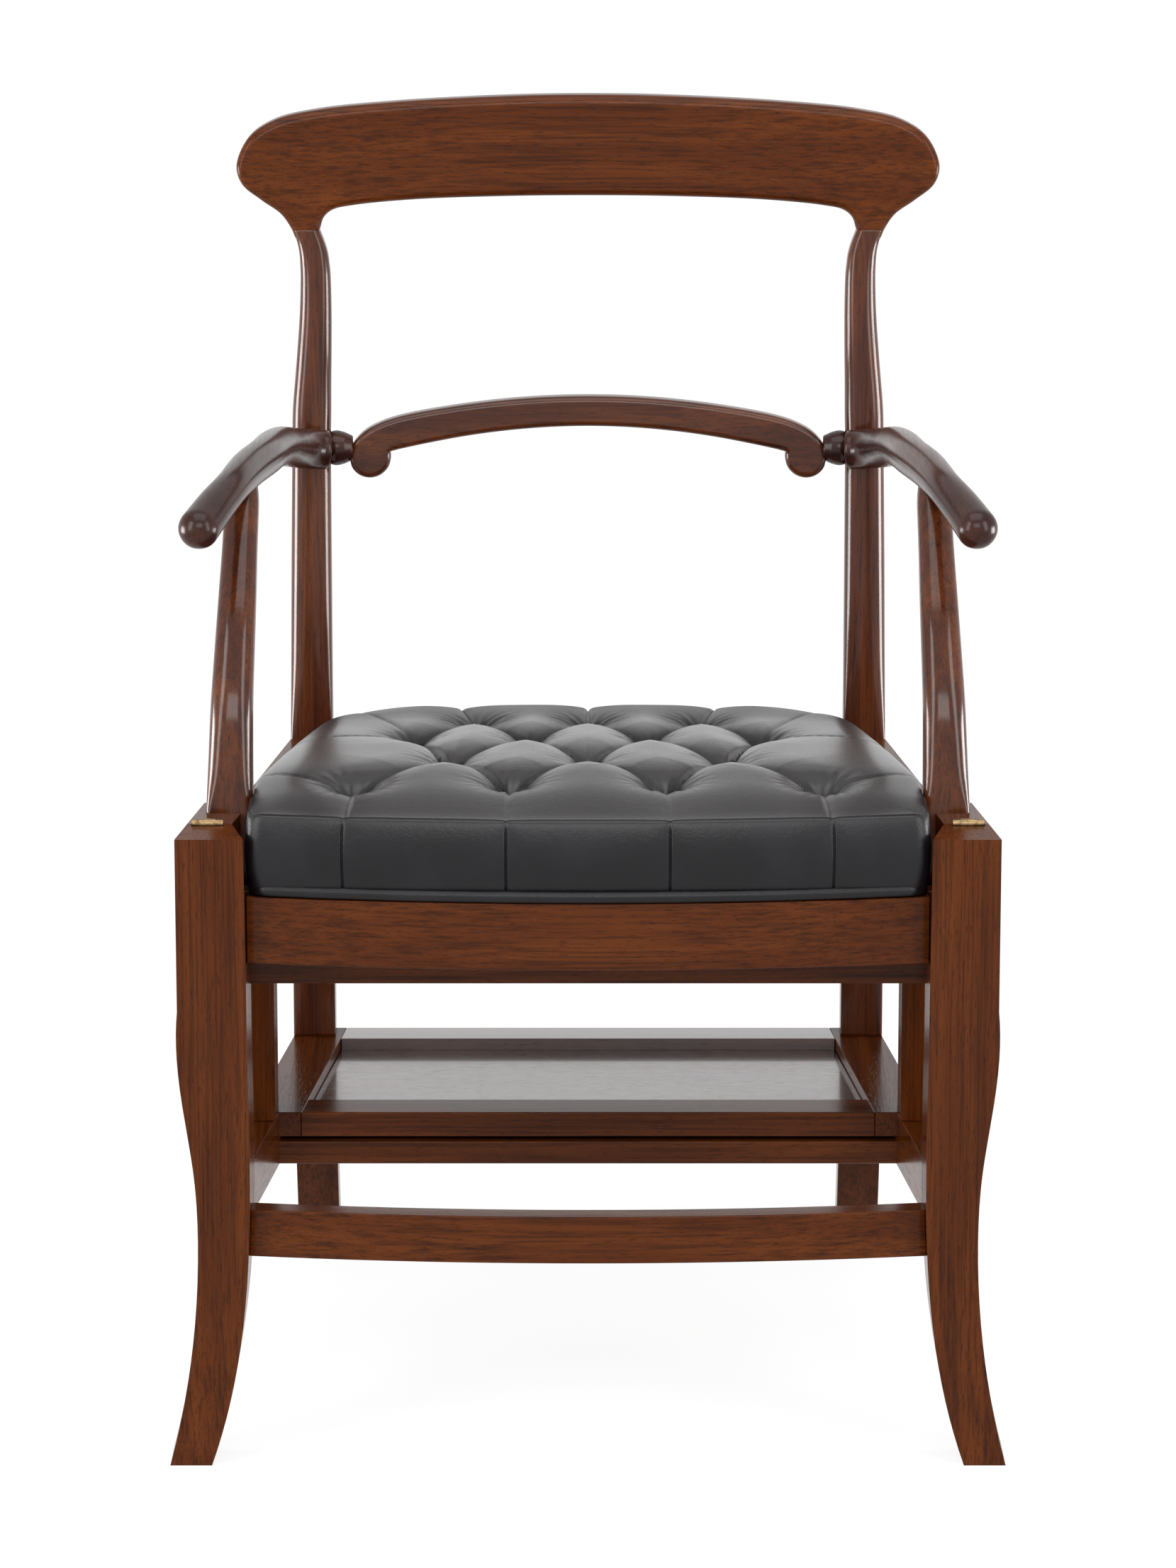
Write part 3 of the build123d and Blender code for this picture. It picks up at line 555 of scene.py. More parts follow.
def shaded_object(
    name: str, points: np.ndarray, faces: list, material: bpy.types.Material
) -> bpy.types.Object:
    """A smooth mesh object in the scene.

    Args:
        name: its name.
        points: its vertices, one row each, in metres.
        faces: its faces, as tuples of vertex numbers.
        material: its finish.

    Returns:
        The object.
    """
    mesh = bpy.data.meshes.new(name)
    mesh.from_pydata([tuple(p) for p in points], [], faces)
    mesh.shade_smooth()
    mesh.materials.append(material)
    made = bpy.data.objects.new(name, mesh)
    bpy.context.scene.collection.objects.link(made)
    return made


def seat_piece(
    name: str,
    cloud: np.ndarray,
    faces: list,
    material: bpy.types.Material,
    replaced: str,
) -> bpy.types.Object:
    """A piece of the upper half that stands for one CAD node.

    Args:
        name: its name.
        cloud: its vertices in millimetres, with distances from the front legs' face as y.
        faces: its faces.
        material: its finish.
        replaced: the node that it replaces.

    Returns:
        The piece.
    """
    placed = (cloud + np.array([0, LEG_FACE, 0])) / MM_PER_METRE
    made = shaded_object(name, placed, faces, material)
    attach(made, "seat_and_back")
    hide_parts(replaced)
    LOG.info("built %s", name)
    return made


def seat_pair(
    name: str, cloud: np.ndarray, faces: list, material: bpy.types.Material, replaced: str
) -> None:
    """A wooden piece of the upper half and its mirror image on the left.

    Args:
        name: name of both, without the side.
        cloud: the right-hand one's vertices in millimetres.
        faces: its faces.
        material: their finish.
        replaced: the two nodes that they replace, without the side.
    """
    seat_piece(name + "_right", cloud, faces, material, replaced + "_r")
    mirrored = cloud * np.array([-1, 1, 1])
    seat_piece(name + "_left", mirrored, [face[::-1] for face in faces], material, replaced + "_l")


def soft_read(
    places: np.ndarray, values: np.ndarray, at: np.ndarray, reach: float, samples: int = 25
) -> np.ndarray:
    """Reads a run of straight stretches with its bends rounded.

    Args:
        places: where its corners are, rising.
        values: its value at each corner.
        at: where it is read.
        reach: how far the rounding goes to each side of a bend.
        samples: how many readings make up each value.

    Returns:
        The value at each place.
    """
    span = np.clip(np.minimum(at - places[0], places[-1] - at), 0, reach)
    shifts = np.linspace(-1, 1, samples)
    weights = np.cos(shifts * math.pi / 2) ** 2
    total = sum(w * np.interp(at + s * span, places, values) for s, w in zip(shifts, weights))
    return total / weights.sum()


def belts(count: int, around: int) -> list:
    """Faces that join each of a run of rings to the next.

    Args:
        count: how many rings there are, numbered one after the other.
        around: vertices in each.

    Returns:
        The faces.
    """
    faces = []
    for first in range(0, (count - 1) * around, around):
        for k in range(around):
            a, b = first + k, first + (k + 1) % around
            faces.append((a, b, b + around, a + around))
    return faces


def skin(rings: np.ndarray) -> tuple[np.ndarray, list]:
    """Skin over rings of points, closed at both ends.

    Args:
        rings: the rings, each with its points in the same order.

    Returns:
        The vertices and the faces.
    """
    count, around = rings.shape[:2]
    faces = belts(count, around)
    faces.append(tuple(range(around))[::-1])
    faces.append(tuple(range((count - 1) * around, count * around)))
    return rings.reshape(-1, 3), faces


def flow(points: tuple | np.ndarray, pitch: float, samples: int = 24) -> np.ndarray:
    """A smooth curve through a few points, in short even steps.

    Args:
        points: the points. The first and the last only steer the curve.
        pitch: length of a step.
        samples: places worked out between two points before the steps are evened.

    Returns:
        Places on the curve, one row each.
    """
    knots = np.array(points, float)
    runs = []
    for before, start, end, after in zip(knots, knots[1:], knots[2:], knots[3:]):
        near = np.sqrt(np.linalg.norm(start - before))
        mid = np.sqrt(np.linalg.norm(end - start))
        far = np.sqrt(np.linalg.norm(after - end))
        out = (start - before) / near - (end - before) / (near + mid) + (end - start) / mid
        into = (end - start) / mid - (after - start) / (mid + far) + (after - end) / far
        t = np.linspace(0, 1, samples, endpoint=False)[:, None]
        runs.append(
            (2 * t**3 - 3 * t**2 + 1) * start
            + (t**3 - 2 * t**2 + t) * mid * out
            + (3 * t**2 - 2 * t**3) * end
            + (t**3 - t**2) * mid * into
        )
    line = np.concatenate(runs + [knots[-2:-1]])
    reach = np.concatenate([[0], np.cumsum(np.linalg.norm(np.diff(line, axis=0), axis=1))])
    at = np.linspace(0, reach[-1], max(2, int(reach[-1] / pitch)))
    return np.stack([np.interp(at, reach, line[:, k]) for k in range(line.shape[1])], axis=-1)


@dataclass
class Upright:
    """A curved upright, given by level sections of a bar with rounded corners.

    Lengths are millimetres. A station is its height, its inner, outer, near and far face, and its
    corners' radius.
    """

    name: str
    node: str
    stations: tuple
    finish: Rosewood = LIMB_POLISH
    pitch: float = 2.5
    reach: float = 26.0
    corner_steps: int = 8

    def build(self) -> None:
        """Builds the right-hand upright and its mirror image."""
        table = np.array(self.stations, float)
        heights = np.arange(table[0, 0], table[-1, 0], self.pitch)
        heights = np.append(heights, table[-1, 0])
        inner, outer, near, far, radius = (
            soft_read(table[:, 0], table[:, k], heights, self.reach)[:, None] for k in range(1, 6)
        )
        turn = np.radians(np.linspace(0, 90, self.corner_steps))[None, :]
        corners = []
        for start, across, x_inwards, deep, y_inwards in (
            (270, outer, -1, near, 1),
            (0, outer, -1, far, -1),
            (90, inner, 1, far, -1),
            (180, inner, 1, near, 1),
        ):
            angle = turn + math.radians(start)
            x = across + x_inwards * radius + radius * np.cos(angle)
            y = deep + y_inwards * radius + radius * np.sin(angle)
            corners.append(np.stack([x, y, np.broadcast_to(heights[:, None], x.shape)], axis=-1))
        cloud, faces = skin(np.concatenate(corners, axis=1))
        seat_pair(self.name, cloud, faces, self.finish.material(Grain.UPRIGHT), self.node)


BACK_STILE = Upright(
    "stile",
    "back_stile",
    (
        (190, 194, 226, 440, 466, 1.5),
        (418, 194, 226, 440, 466, 1.5),
        (478, 194, 225.6, 440.6, 466.4, 10),
        (552, 194, 224.8, 442.5, 467.9, 11.5),
        (618, 194, 223.8, 445, 469.6, 11.5),
        (660, 194, 223, 446.9, 471, 11),
        (672, 193.2, 223.2, 447.2, 471.5, 11),
        (686, 193.6, 221.8, 448.4, 471.8, 10.5),
        (710, 193, 219.6, 449.3, 472.8, 10.5),
        (749, 192.6, 216.5, 451.4, 474.4, 10),
        (788, 193.4, 215.5, 453.5, 475.9, 8.5),
        (800, 197, 217.6, 454.3, 476.5, 7),
        (811, 201.4, 221.6, 455, 477, 6.5),
    ),
)
ARM_POST = Upright(
    "arm_support",
    "arm_post",
    (
        (405, 235.6, 267.8, 61.5, 95.5, 1.5),
        (455, 235.6, 267.8, 61.5, 95.5, 1.5),
        (474, 235.5, 267.1, 64.5, 97.5, 10),
        (529, 235.2, 265, 76, 106, 13),
        (590, 234, 261.2, 108, 138, 12.8),
        (633, 234.2, 258.8, 142, 172.5, 12),
        (655, 233.6, 258.4, 160, 190, 12),
        (668, 235.5, 256, 171, 199, 10),
    ),
)


@dataclass
class Arm:
    """A swept arm that starts on the stile's front, passes over its post and ends in a round club.

    Lengths are millimetres. A station is its x, its distance back, its height and half its
    thickness.
    """

    finish: Rosewood = DARK_POLISH
    stations: tuple = (
        (196.3, 436.0, 647.8, 14.7),
        (204, 433.5, 648.6, 14.9),
        (213.5, 424.0, 650.9, 15.0),
        (221.5, 399.0, 656.1, 14.9),
        (227, 357.0, 664.3, 14.6),
        (230.8, 310.0, 669.8, 14.4),
        (234.2, 262.0, 673.2, 14.1),
        (243, 202.0, 674.5, 13.8),
        (252, 140.0, 672.0, 12.6),
        (261, 108.0, 665.0, 13.6),
        (270.6, 76.0, 655.5, 14.5),
    )
    pitch: float = 2.2
    around: int = 48
    facets: int = 6
    facet: float = 0.004
    cap_rings: int = 11
    cap_angles: tuple = (9, 87)
    club_reach: float = 0.98
    root_reach: float = 0.12

    def build(self) -> None:
        """Builds the right arm and its mirror image."""
        table = np.array(self.stations, float)
        table = np.concatenate([2 * table[:1] - table[1:2], table, 2 * table[-1:] - table[-2:-1]])
        line = flow(table, self.pitch)
        centre, size = line[:, :3], line[:, 3]
        along = np.gradient(centre, axis=0)
        along /= np.linalg.norm(along, axis=1, keepdims=True)
        centre, along, size = self.rounded_ends(centre, along, size)
        side = np.cross(along, [0, 0, 1])
        side /= np.linalg.norm(side, axis=1, keepdims=True)
        rise = np.cross(side, along)
        turn = np.linspace(0, 2 * math.pi, self.around, endpoint=False)
        swell = 1 + self.facet * np.cos(self.facets * turn)
        rings = centre[:, None, :] + size[:, None, None] * (
            (swell * np.cos(turn))[None, :, None] * side[:, None, :]
            + (swell * np.sin(turn))[None, :, None] * rise[:, None, :]
        )
        cloud, faces = skin(rings[:, ::-1])
        seat_pair("arm", cloud, faces, self.finish.material(Grain.DEEP), "arm")

    def rounded_ends(self, centre: np.ndarray, along: np.ndarray, size: np.ndarray) -> tuple:
        """Adds the rings of a shallow cap at the root and of the round club at the front.

        Args:
            centre: middles of the rings.
            along: direction of the arm at each.
            size: half its thickness at each.

        Returns:
            The same three with the new rings.
        """
        turn = np.radians(np.linspace(*self.cap_angles, self.cap_rings))
        shrink, push = np.cos(turn), np.sin(turn)
        root = centre[0] - along[0] * (push * size[0] * self.root_reach)[:, None]
        club = centre[-1] + along[-1] * (push * size[-1] * self.club_reach)[:, None]
        middles = np.concatenate([root[::-1], centre, club])
        at_root, at_club = (np.repeat(end, self.cap_rings, 0) for end in (along[:1], along[-1:]))
        courses = np.concatenate([at_root, along, at_club])
        sizes = np.concatenate([(size[0] * shrink)[::-1], size, size[-1] * shrink])
        return middles, courses, sizes


@dataclass
class BackBead:
    """The turned bead between the arched rail's scroll and a stile.

    Lengths are millimetres. The profile is the radius at each share of the way from inner to outer.
    """

    finish: Rosewood = DARK_POLISH
    inner: float = 177.4
    outer: float = 194.4
    middle_back: float = 457.5
    height: float = 645.5
    profile: tuple = (
        (0, 8.6), (0.03, 9.4), (0.1, 9.9), (0.35, 11.9), (0.6, 13.1),
        (0.75, 13.35), (0.9, 12.9), (0.97, 12.2), (1, 11.4),
    )
    rings: int = 34
    around: int = 40

    def build(self) -> None:
        """Builds the right bead and its mirror image."""
        shares, radii = np.array(self.profile).T
        at = np.linspace(0, 1, self.rings)
        radius = np.interp(at, shares, radii)
        turn = np.linspace(0, 2 * math.pi, self.around, endpoint=False)
        rings = np.stack(
            [
                np.repeat((self.inner + at * (self.outer - self.inner))[:, None], self.around, 1),
                self.middle_back + radius[:, None] * np.cos(turn),
                self.height + radius[:, None] * np.sin(turn),
            ],
            axis=-1,
        )
        cloud, faces = skin(rings)
        seat_pair("bead", cloud, faces, self.finish.material(Grain.ACROSS), "back_peg")


@dataclass
class ShapedRail:
    """A rail sawn to an outline, bowed in plan, with its front and back edges rounded over.

    Lengths are millimetres. The outline's right half goes from the middle of the top to the middle
    of the underside, in runs of points that a smooth curve goes through. A run's first and last
    points only steer its curve.
    """

    name: str
    node: str
    runs: tuple
    face: float
    bow: float
    bow_half: float
    deep: float
    round_over: float
    finish: Rosewood = PLAIN_POLISH
    pitch: float = 2.0
    lattice: float = 6.0
    clear: float = 0.45
    merge: float = 1e-6
    steps: int = 7

    def outline(self) -> np.ndarray:
        """The whole outline.

        Returns:
            Its points, clockwise as seen from the front, with none twice.
        """
        half = []
        for run in self.runs:
            line = flow(run, self.pitch)
            half.append(line[1:] if half else line)
        right = np.concatenate(half)
        left = right[-2:0:-1] * np.array([-1, 1])
        return np.concatenate([right, left])

    def front(self, x: np.ndarray) -> np.ndarray:
        """Distance of the bowed front face at each x."""
        return self.face - self.bow * (x / self.bow_half) ** 2

    def ring(self, loop: np.ndarray, inset: float, sink: float, rear: bool) -> np.ndarray:
        """One ring of the rounded edge.

        Args:
            loop: the outline.
            inset: how far inside it the ring lies.
            sink: how far the ring lies behind the face.
            rear: whether that is the back face.

        Returns:
            The ring's vertices.
        """
        run = np.roll(loop, -1, axis=0) - np.roll(loop, 1, axis=0)
        inwards = np.stack([run[:, 1], -run[:, 0]], axis=-1)
        inwards /= np.linalg.norm(inwards, axis=1, keepdims=True)
        flat = loop + inwards * inset
        depth = self.front(flat[:, 0]) + (self.deep - sink if rear else sink)
        return np.stack([flat[:, 0], depth, flat[:, 1]], axis=-1)

    def fill(self, edge: np.ndarray, first: int, rear: bool) -> tuple[np.ndarray, list]:
        """Fills a face inside its last ring.

        Args:
            edge: the ring's points.
            first: number of its first vertex.
            rear: whether it is the back face.

        Returns:
            The new vertices and the faces.
        """
        border = edge[:, [0, 2]]
        low, high = border.min(axis=0), border.max(axis=0)
        xs = np.arange(low[0] + self.lattice / 2, high[0], self.lattice)
        zs = np.arange(low[1] + self.lattice / 2, high[1], self.lattice)
        inner = np.stack(np.meshgrid(xs, zs), axis=-1).reshape(-1, 2)
        gap = np.min(np.linalg.norm(inner[:, None, :] - border[None, :, :], axis=-1), axis=1)
        inner = inner[gap > self.lattice * self.clear]
        flat = [Vector(p) for p in np.concatenate([border, inner])]
        places, _, triangles, sources, _, _ = delaunay_2d_cdt(
            flat, [], [list(range(len(edge)))], 1, self.merge
        )
        kept = np.array([tuple(p) for p in places])
        added = [k for k, source in enumerate(sources) if min(source) >= len(edge)]
        fresh = {k: first + len(edge) + n for n, k in enumerate(added)}
        number = [fresh.get(k, first + min(source)) for k, source in enumerate(sources)]
        x, z = kept[added, 0], kept[added, 1]
        y = self.front(x) + (self.deep if rear else 0)
        faces = [tuple(number[v] for v in (t[::-1] if rear else t)) for t in triangles]
        return np.stack([x, y, z], axis=-1), faces

    def build(self) -> None:
        """Builds the rail."""
        loop = self.outline()
        count = len(loop)
        turns = np.linspace(0, math.pi / 2, self.steps)
        insets = self.round_over * (1 - np.cos(turns))
        sinks = self.round_over * (1 - np.sin(turns))
        front_rings = [self.ring(loop, i, s, False) for i, s in zip(insets, sinks)]
        rear_rings = [self.ring(loop, i, s, True) for i, s in zip(insets, sinks)]
        rings = front_rings[::-1] + rear_rings
        faces = belts(len(rings), count)
        cloud = np.concatenate(rings)
        last = (len(rings) - 1) * count
        rear_points, rear_faces = self.fill(rings[-1], last, True)
        front_points, front_faces = self.fill(rings[0], 0, False)
        shift = len(cloud) + len(rear_points) - count
        faces += rear_faces
        faces += [tuple(v if v < count else v + shift for v in face) for face in front_faces]
        cloud = np.concatenate([cloud, rear_points, front_points])
        seat_piece(self.name, cloud, faces, self.finish.material(Grain.ACROSS), self.node)


CREST = ShapedRail(
    "crest",
    "crest_rail",
    (
        (
            (-51.2, 909.4), (0, 910), (51.2, 909.4), (144.7, 905.4), (203.5, 900.2),
            (234.2, 893.3), (252.9, 881.1), (262.6, 860), (258.7, 845.6), (244.5, 833.3),
            (230, 822.5), (222.2, 811), (218.8, 803.6), (211.5, 800.5), (204.2, 803.6),
            (200.9, 811), (198, 819.5), (191.4, 825), (177, 828), (132.6, 831.7),
            (65.6, 833.6), (0, 834.1), (-65.6, 833.6),
        ),
    ),
    face=472.4,
    bow=29.0,
    bow_half=286.0,
    deep=23.0,
    round_over=6.5,
)
BACK_RAIL = ShapedRail(
    "arched_rail",
    "back_rail",
    (
        (
            (-50, 681.3), (0, 683), (50, 681.3), (100, 676.2), (142.9, 669), (159, 663.8),
            (170, 657.4), (177, 649.2), (179.4, 638.6), (177.9, 630.8), (172.1, 625),
            (164.3, 622.9), (156.5, 625), (150.7, 630.8), (148.7, 638.6), (149.2, 642.6),
            (151, 646.6),
        ),
        (
            (150.5, 637.6), (149.2, 642.6), (147, 643), (142, 644.2), (92.4, 653.1),
            (46.2, 658.2), (0, 660), (-46.2, 658.2),
        ),
    ),
    face=465.5,
    bow=18.0,
    bow_half=185.0,
    deep=18.0,
    round_over=4.6,
    finish=LIMB_POLISH,
)


@dataclass
class SeatCushion:
    """Deep-buttoned seat: a crowned top in diamonds, a boxed front with seams, drawn-in sides.

    Lengths are millimetres. Places from front to back are measured from the front legs' front face.
    """

    finish: Leather = Leather("leather")
    fill: float = 0.85

    # Plan of the top and its mesh
    bow: float = 20.0
    bow_half: float = 238.5
    front_in: float = 13.0
    depth: float = 442.0
    widths: tuple = (
        (0.0, 236.0), (50.0, 236.2), (62.0, 234.6), (96.0, 234.6),
        (104.0, 234.8), (200.0, 223.5), (320.0, 208.0), (442.0, 191.5),
    )
    corner: float = 9.0
    pitch: float = 1.8
    crowding: float = 0.1
    seam_columns: tuple = (-0.006, -0.0027, 0.0, 0.0027, 0.006)

    # Crown of the stuffing, the seam round it and the foot in the seat frame
    dome: tuple = ((0, 465), (50, 476), (110, 480), (250, 473), (442, 455))
    dome_reach: float = 32.0
    side_fall: float = 5.0
    side_power: float = 2.5
    corner_fall: float = 13.0
    corner_reach: float = 80.0
    rim: float = 30.0
    rim_share: float = 0.35
    seam: float = 467.0
    seam_level: float = 110.0
    seam_back: float = 440.0
    foot: float = 409.0
    well: float = 378.0
    well_narrow: float = 0.985
    well_front: float = 27.0

    # Rows of buttons and the pleats between them and out to the edges
    rows: tuple = (
        (84.0, (-165.0, -55.0, 55.0, 165.0)),
        (171.0, (-99.0, 0.0, 99.0)),
        (264.0, (-128.0, -43.0, 43.0, 128.0)),
        (350.0, (-83.0, 0.0, 83.0)),
    )
    tuft_depth: float = 14.0
    tuft_reach: float = 17.0
    front_sink: float = 1.35
    pleat_depth: float = 10.5
    puff: float = 33.0
    crease_depth: float = 2.4
    crease_width: float = 1.6
    diamond: float = 0.75
    past_edge: float = 20.0
    front_pleat: float = 0.22
    front_splay: float = 1.03
    back_pleat: float = 0.5
    back_splay: float = 1.25
    side_pleat: float = 0.13
    side_runs: tuple = ((0, 1.6, 40.0), (2, 1.8, -30.0), (2, 1.4, 160.0))
    wrinkle: float = 0.5
    ripples: tuple = ((1.0, 11, 1.7, 13.0, 9.0), (0.6, 19, 2.9, 22.0, 10.0))

    # Boxing below the seam
    boxing_rings: int = 22
    bulge: float = 6.0
    bulge_foot: float = 0.92
    bulge_power: float = 0.7
    side_bulge: float = 0.2
    boxed_to: float = 21.0
    boxed_blend: float = 8.0
    pinch: float = 0.22
    pinch_width: float = 8.0
    seam_depth: float = 1.6
    seam_width: float = 0.8
    seam_fade: float = 9.0

    def front_line(self, x: np.ndarray) -> np.ndarray:
        """Distance of the bowed front edge at each x."""
        return self.front_in - self.bow * (1 - (x / self.bow_half) ** 2)

    def half_width(self, distance: np.ndarray) -> np.ndarray:
        """Half the width of the top at each distance."""
        places, halves = zip(*self.widths)
        return np.interp(distance, places, halves)

    def seam_height(self, y: np.ndarray) -> np.ndarray:
        """Height of the seam between the top and the boxing at each distance."""
        places = (0, self.seam_level, self.depth)
        return np.interp(y, places, (self.seam, self.seam, self.seam_back))

    def front_seams(self) -> np.ndarray:
        """x of each seam down the front, in line with the front row of buttons."""
        return np.array(self.rows[0][1]) * self.front_splay

    def pleats(self) -> np.ndarray:
        """Every pleat of the top.

        Returns:
            One row each: x, y, x and y of its ends, and its depth as a share of the full one.
        """
        lines = []
        for (near, near_xs), (far, far_xs) in zip(self.rows, self.rows[1:]):
            widest = max(abs(near_xs[1] - near_xs[0]), abs(far_xs[1] - far_xs[0]))
            step = widest * self.diamond
            lines += [(a, near, b, far, 1.0) for a in near_xs for b in far_xs if abs(a - b) < step]
        (first, first_xs), (last, last_xs) = self.rows[0], self.rows[-1]
        ahead, behind = -self.past_edge, self.depth + self.past_edge
        lines += [(x, first, x * self.front_splay, ahead, self.front_pleat) for x in first_xs]
        lines += [(x, last, x * self.back_splay, behind, self.back_pleat) for x in last_xs]
        for side in (-1, 1):
            for row, reach, back in self.side_runs:
                distance, places = self.rows[row]
                x = side * places[-1]
                lines.append((x, distance, x * reach, distance + back, self.side_pleat))
        return np.array(lines)

    def grid(self) -> tuple[np.ndarray, np.ndarray]:
        """Plan of the top, with closer columns beside the front seams.

        Returns:
            x and distance of each vertex, in rows from front to back.
        """
        columns = int(2 * self.bow_half / self.pitch)
        seams = self.front_seams()[:, None] / (self.widths[0][1] - self.corner)
        beside = (seams + np.array(self.seam_columns)).ravel()
        u = np.sort(np.concatenate([np.linspace(-1, 1, columns), beside]))
        v = np.linspace(0, 1, int(self.depth / self.pitch))
        v = v - np.sin(2 * math.pi * v) * self.crowding
        behind = v * self.depth
        ends = np.minimum(behind, self.depth - behind)
        short = np.clip(self.corner - ends, 0, None)
        corner = np.sqrt(np.clip(self.corner**2 - short**2, 0, None))
        half = self.half_width(behind) - self.corner + corner
        x = half[:, None] * u[None, :]
        front = self.front_line(x)
        y = front + behind[:, None] * (self.depth - self.corner - front) / self.depth
        return x, y

    def sunk(
        self, x: np.ndarray, y: np.ndarray, to_tuft: np.ndarray, deep: np.ndarray
    ) -> np.ndarray:
        """How far the buttons and pleats draw the top down.

        Args:
            x: x of each point.
            y: its distance.
            to_tuft: how far it is from the nearest button.
            deep: how strongly that button pulls.

        Returns:
            The depth at each point, away from the edges.
        """
        valley, crease = np.zeros(x.shape), np.zeros(x.shape)
        for ax, ay, bx, by, share in self.pleats():
            run_x, run_y = bx - ax, by - ay
            along = ((x - ax) * run_x + (y - ay) * run_y) / (run_x**2 + run_y**2)
            along = np.clip(along, 0, 1)
            gap = np.hypot(x - ax - along * run_x, y - ay - along * run_y)
            side = 1 - np.sqrt(1 - (1 - np.clip(gap / self.puff, 0, 1)) ** 2)
            valley = np.maximum(valley, side * share)
            crease = np.maximum(crease, np.exp(-((gap / self.crease_width) ** 2)) * share**0.5)
        pit = np.exp(-to_tuft / self.tuft_reach) * deep
        return self.pleat_depth * valley + self.tuft_depth * pit + self.crease_depth * crease

    def crown(self, x: np.ndarray, y: np.ndarray) -> np.ndarray:
        """Height of the stuffing under the buttons, falling away to the sides and back corners.

        Args:
            x: x of each point.
            y: its distance.

        Returns:
            The height at each point.
        """
        dome = soft_read(*np.array(self.dome).T, np.clip(y, 0, self.depth), self.dome_reach)
        dome = dome - self.side_fall * (np.abs(x) / self.bow_half) ** self.side_power
        aside, behind = self.half_width(y) - np.abs(x), self.depth - self.corner - y
        near = np.clip(1 - np.hypot(aside, behind) / self.corner_reach, 0, 1)
        return dome - self.corner_fall * near**2

    def heights(self, x: np.ndarray, y: np.ndarray) -> np.ndarray:
        """The buttoned top.

        Args:
            x: x of each point of the plan.
            y: its distance.

        Returns:
            The height at each point.
        """
        tufts = np.array([(tx, ty) for ty, xs in self.rows for tx in xs])
        away = np.hypot(x[..., None] - tufts[:, 0], y[..., None] - tufts[:, 1])
        nearest, to_tuft = np.argmin(away, axis=-1), np.min(away, axis=-1)
        deep = np.where(nearest < len(self.rows[0][1]), self.front_sink, 1)
        turn = np.arctan2(y - tufts[nearest, 1], x - tufts[nearest, 0])
        ripple = sum(
            strength
            * np.sin(turn * waves + nearest * shift)
            * np.exp(-(((to_tuft - reach) / width) ** 2))
            for strength, waves, shift, reach, width in self.ripples
        )
        sides = self.half_width(y) - np.abs(x)
        ends = np.minimum(y - self.front_line(x), self.depth - self.corner - y)
        inside = np.clip(np.clip(np.minimum(sides, ends), 0, None) / self.rim, 0, 1)
        rim = np.sqrt(1 - (1 - inside) ** 2)
        dome = self.crown(x, y)
        sunk = self.sunk(x, y, to_tuft, deep) * (self.rim_share + (1 - self.rim_share) * inside)
        return dome - sunk + self.wrinkle * ripple - (dome - self.seam_height(y)) * (1 - rim)

    def boxing(self, edge: np.ndarray, share: float) -> np.ndarray:
        """How far the boxing stands out at one level.

        Args:
            edge: the seam's vertices.
            share: how far down the level is, from 0 at the seam to 1 at the foot.

        Returns:
            The distance for each vertex.
        """
        rise = math.sin(math.pi * min(1, share / self.bulge_foot))
        front = np.clip((self.boxed_to - edge[:, 1]) / self.boxed_blend, 0, 1)
        near = np.min(np.abs(edge[:, 0, None] - self.front_seams()), axis=-1)
        pinch = self.pinch * np.exp(-((near / self.pinch_width) ** 2)) * front
        groove = self.seam_depth * np.exp(-((near / self.seam_width) ** 2)) * front
        groove = groove * min(1, share * self.seam_fade, (1 - share) * self.seam_fade)
        swell = self.bulge * rise**self.bulge_power * (1 - pinch)
        return swell * (self.side_bulge + (1 - self.side_bulge) * front) - groove

    def levels(self, edge: np.ndarray) -> list[np.ndarray]:
        """The rings of vertices below the top's edge, down into the seat frame.

        Args:
            edge: the edge's vertices.

        Returns:
            The rings, from the first below the edge to the lowest.
        """
        run = (np.roll(edge, -1, axis=0) - np.roll(edge, 1, axis=0))[:, :2]
        out = np.stack([run[:, 1], -run[:, 0]], axis=-1)
        out /= np.linalg.norm(out, axis=1, keepdims=True)
        rings = []
        for share in np.linspace(0, 1, self.boxing_rings + 1)[1:]:
            ring = edge.copy()
            ring[:, 2] = edge[:, 2] + (self.foot - edge[:, 2]) * share
            ring[:, :2] += out * self.boxing(edge, share)[:, None]
            rings.append(ring)
        inner = rings[-1].copy()
        inner[:, 0] *= self.well_narrow
        inner[:, 1] = np.clip(inner[:, 1], self.front_line(inner[:, 0]) + self.well_front, None)
        low = inner.copy()
        low[:, 2] = self.well
        return rings + [inner, low]

    def build(self) -> None:
        """Builds the cushion and puts it in place."""
        x, y = self.grid()
        rows, columns = x.shape
        top = np.stack([x, y, self.heights(x, y)], axis=-1).reshape(-1, 3)
        number = np.arange(rows * columns).reshape(rows, columns)
        above = np.concatenate(
            [number[0, :-1], number[:-1, -1], number[-1, :0:-1], number[:0:-1, 0]]
        )
        faces = [
            (number[r, c], number[r, c + 1], number[r + 1, c + 1], number[r + 1, c])
            for r in range(rows - 1)
            for c in range(columns - 1)
        ]
        rings = self.levels(top[above])
        for k, ring in enumerate(rings):
            below = np.arange(len(ring)) + len(top) + k * len(ring)
            faces += zip(above, below, np.roll(below, -1), np.roll(above, -1))
            above = below
        faces.append(tuple(above[::-1]))
        cloud = np.concatenate([top] + rings)
        material = self.finish.material()
        made = seat_piece("buttoned_seat", cloud, faces, material, "seat_cushion")


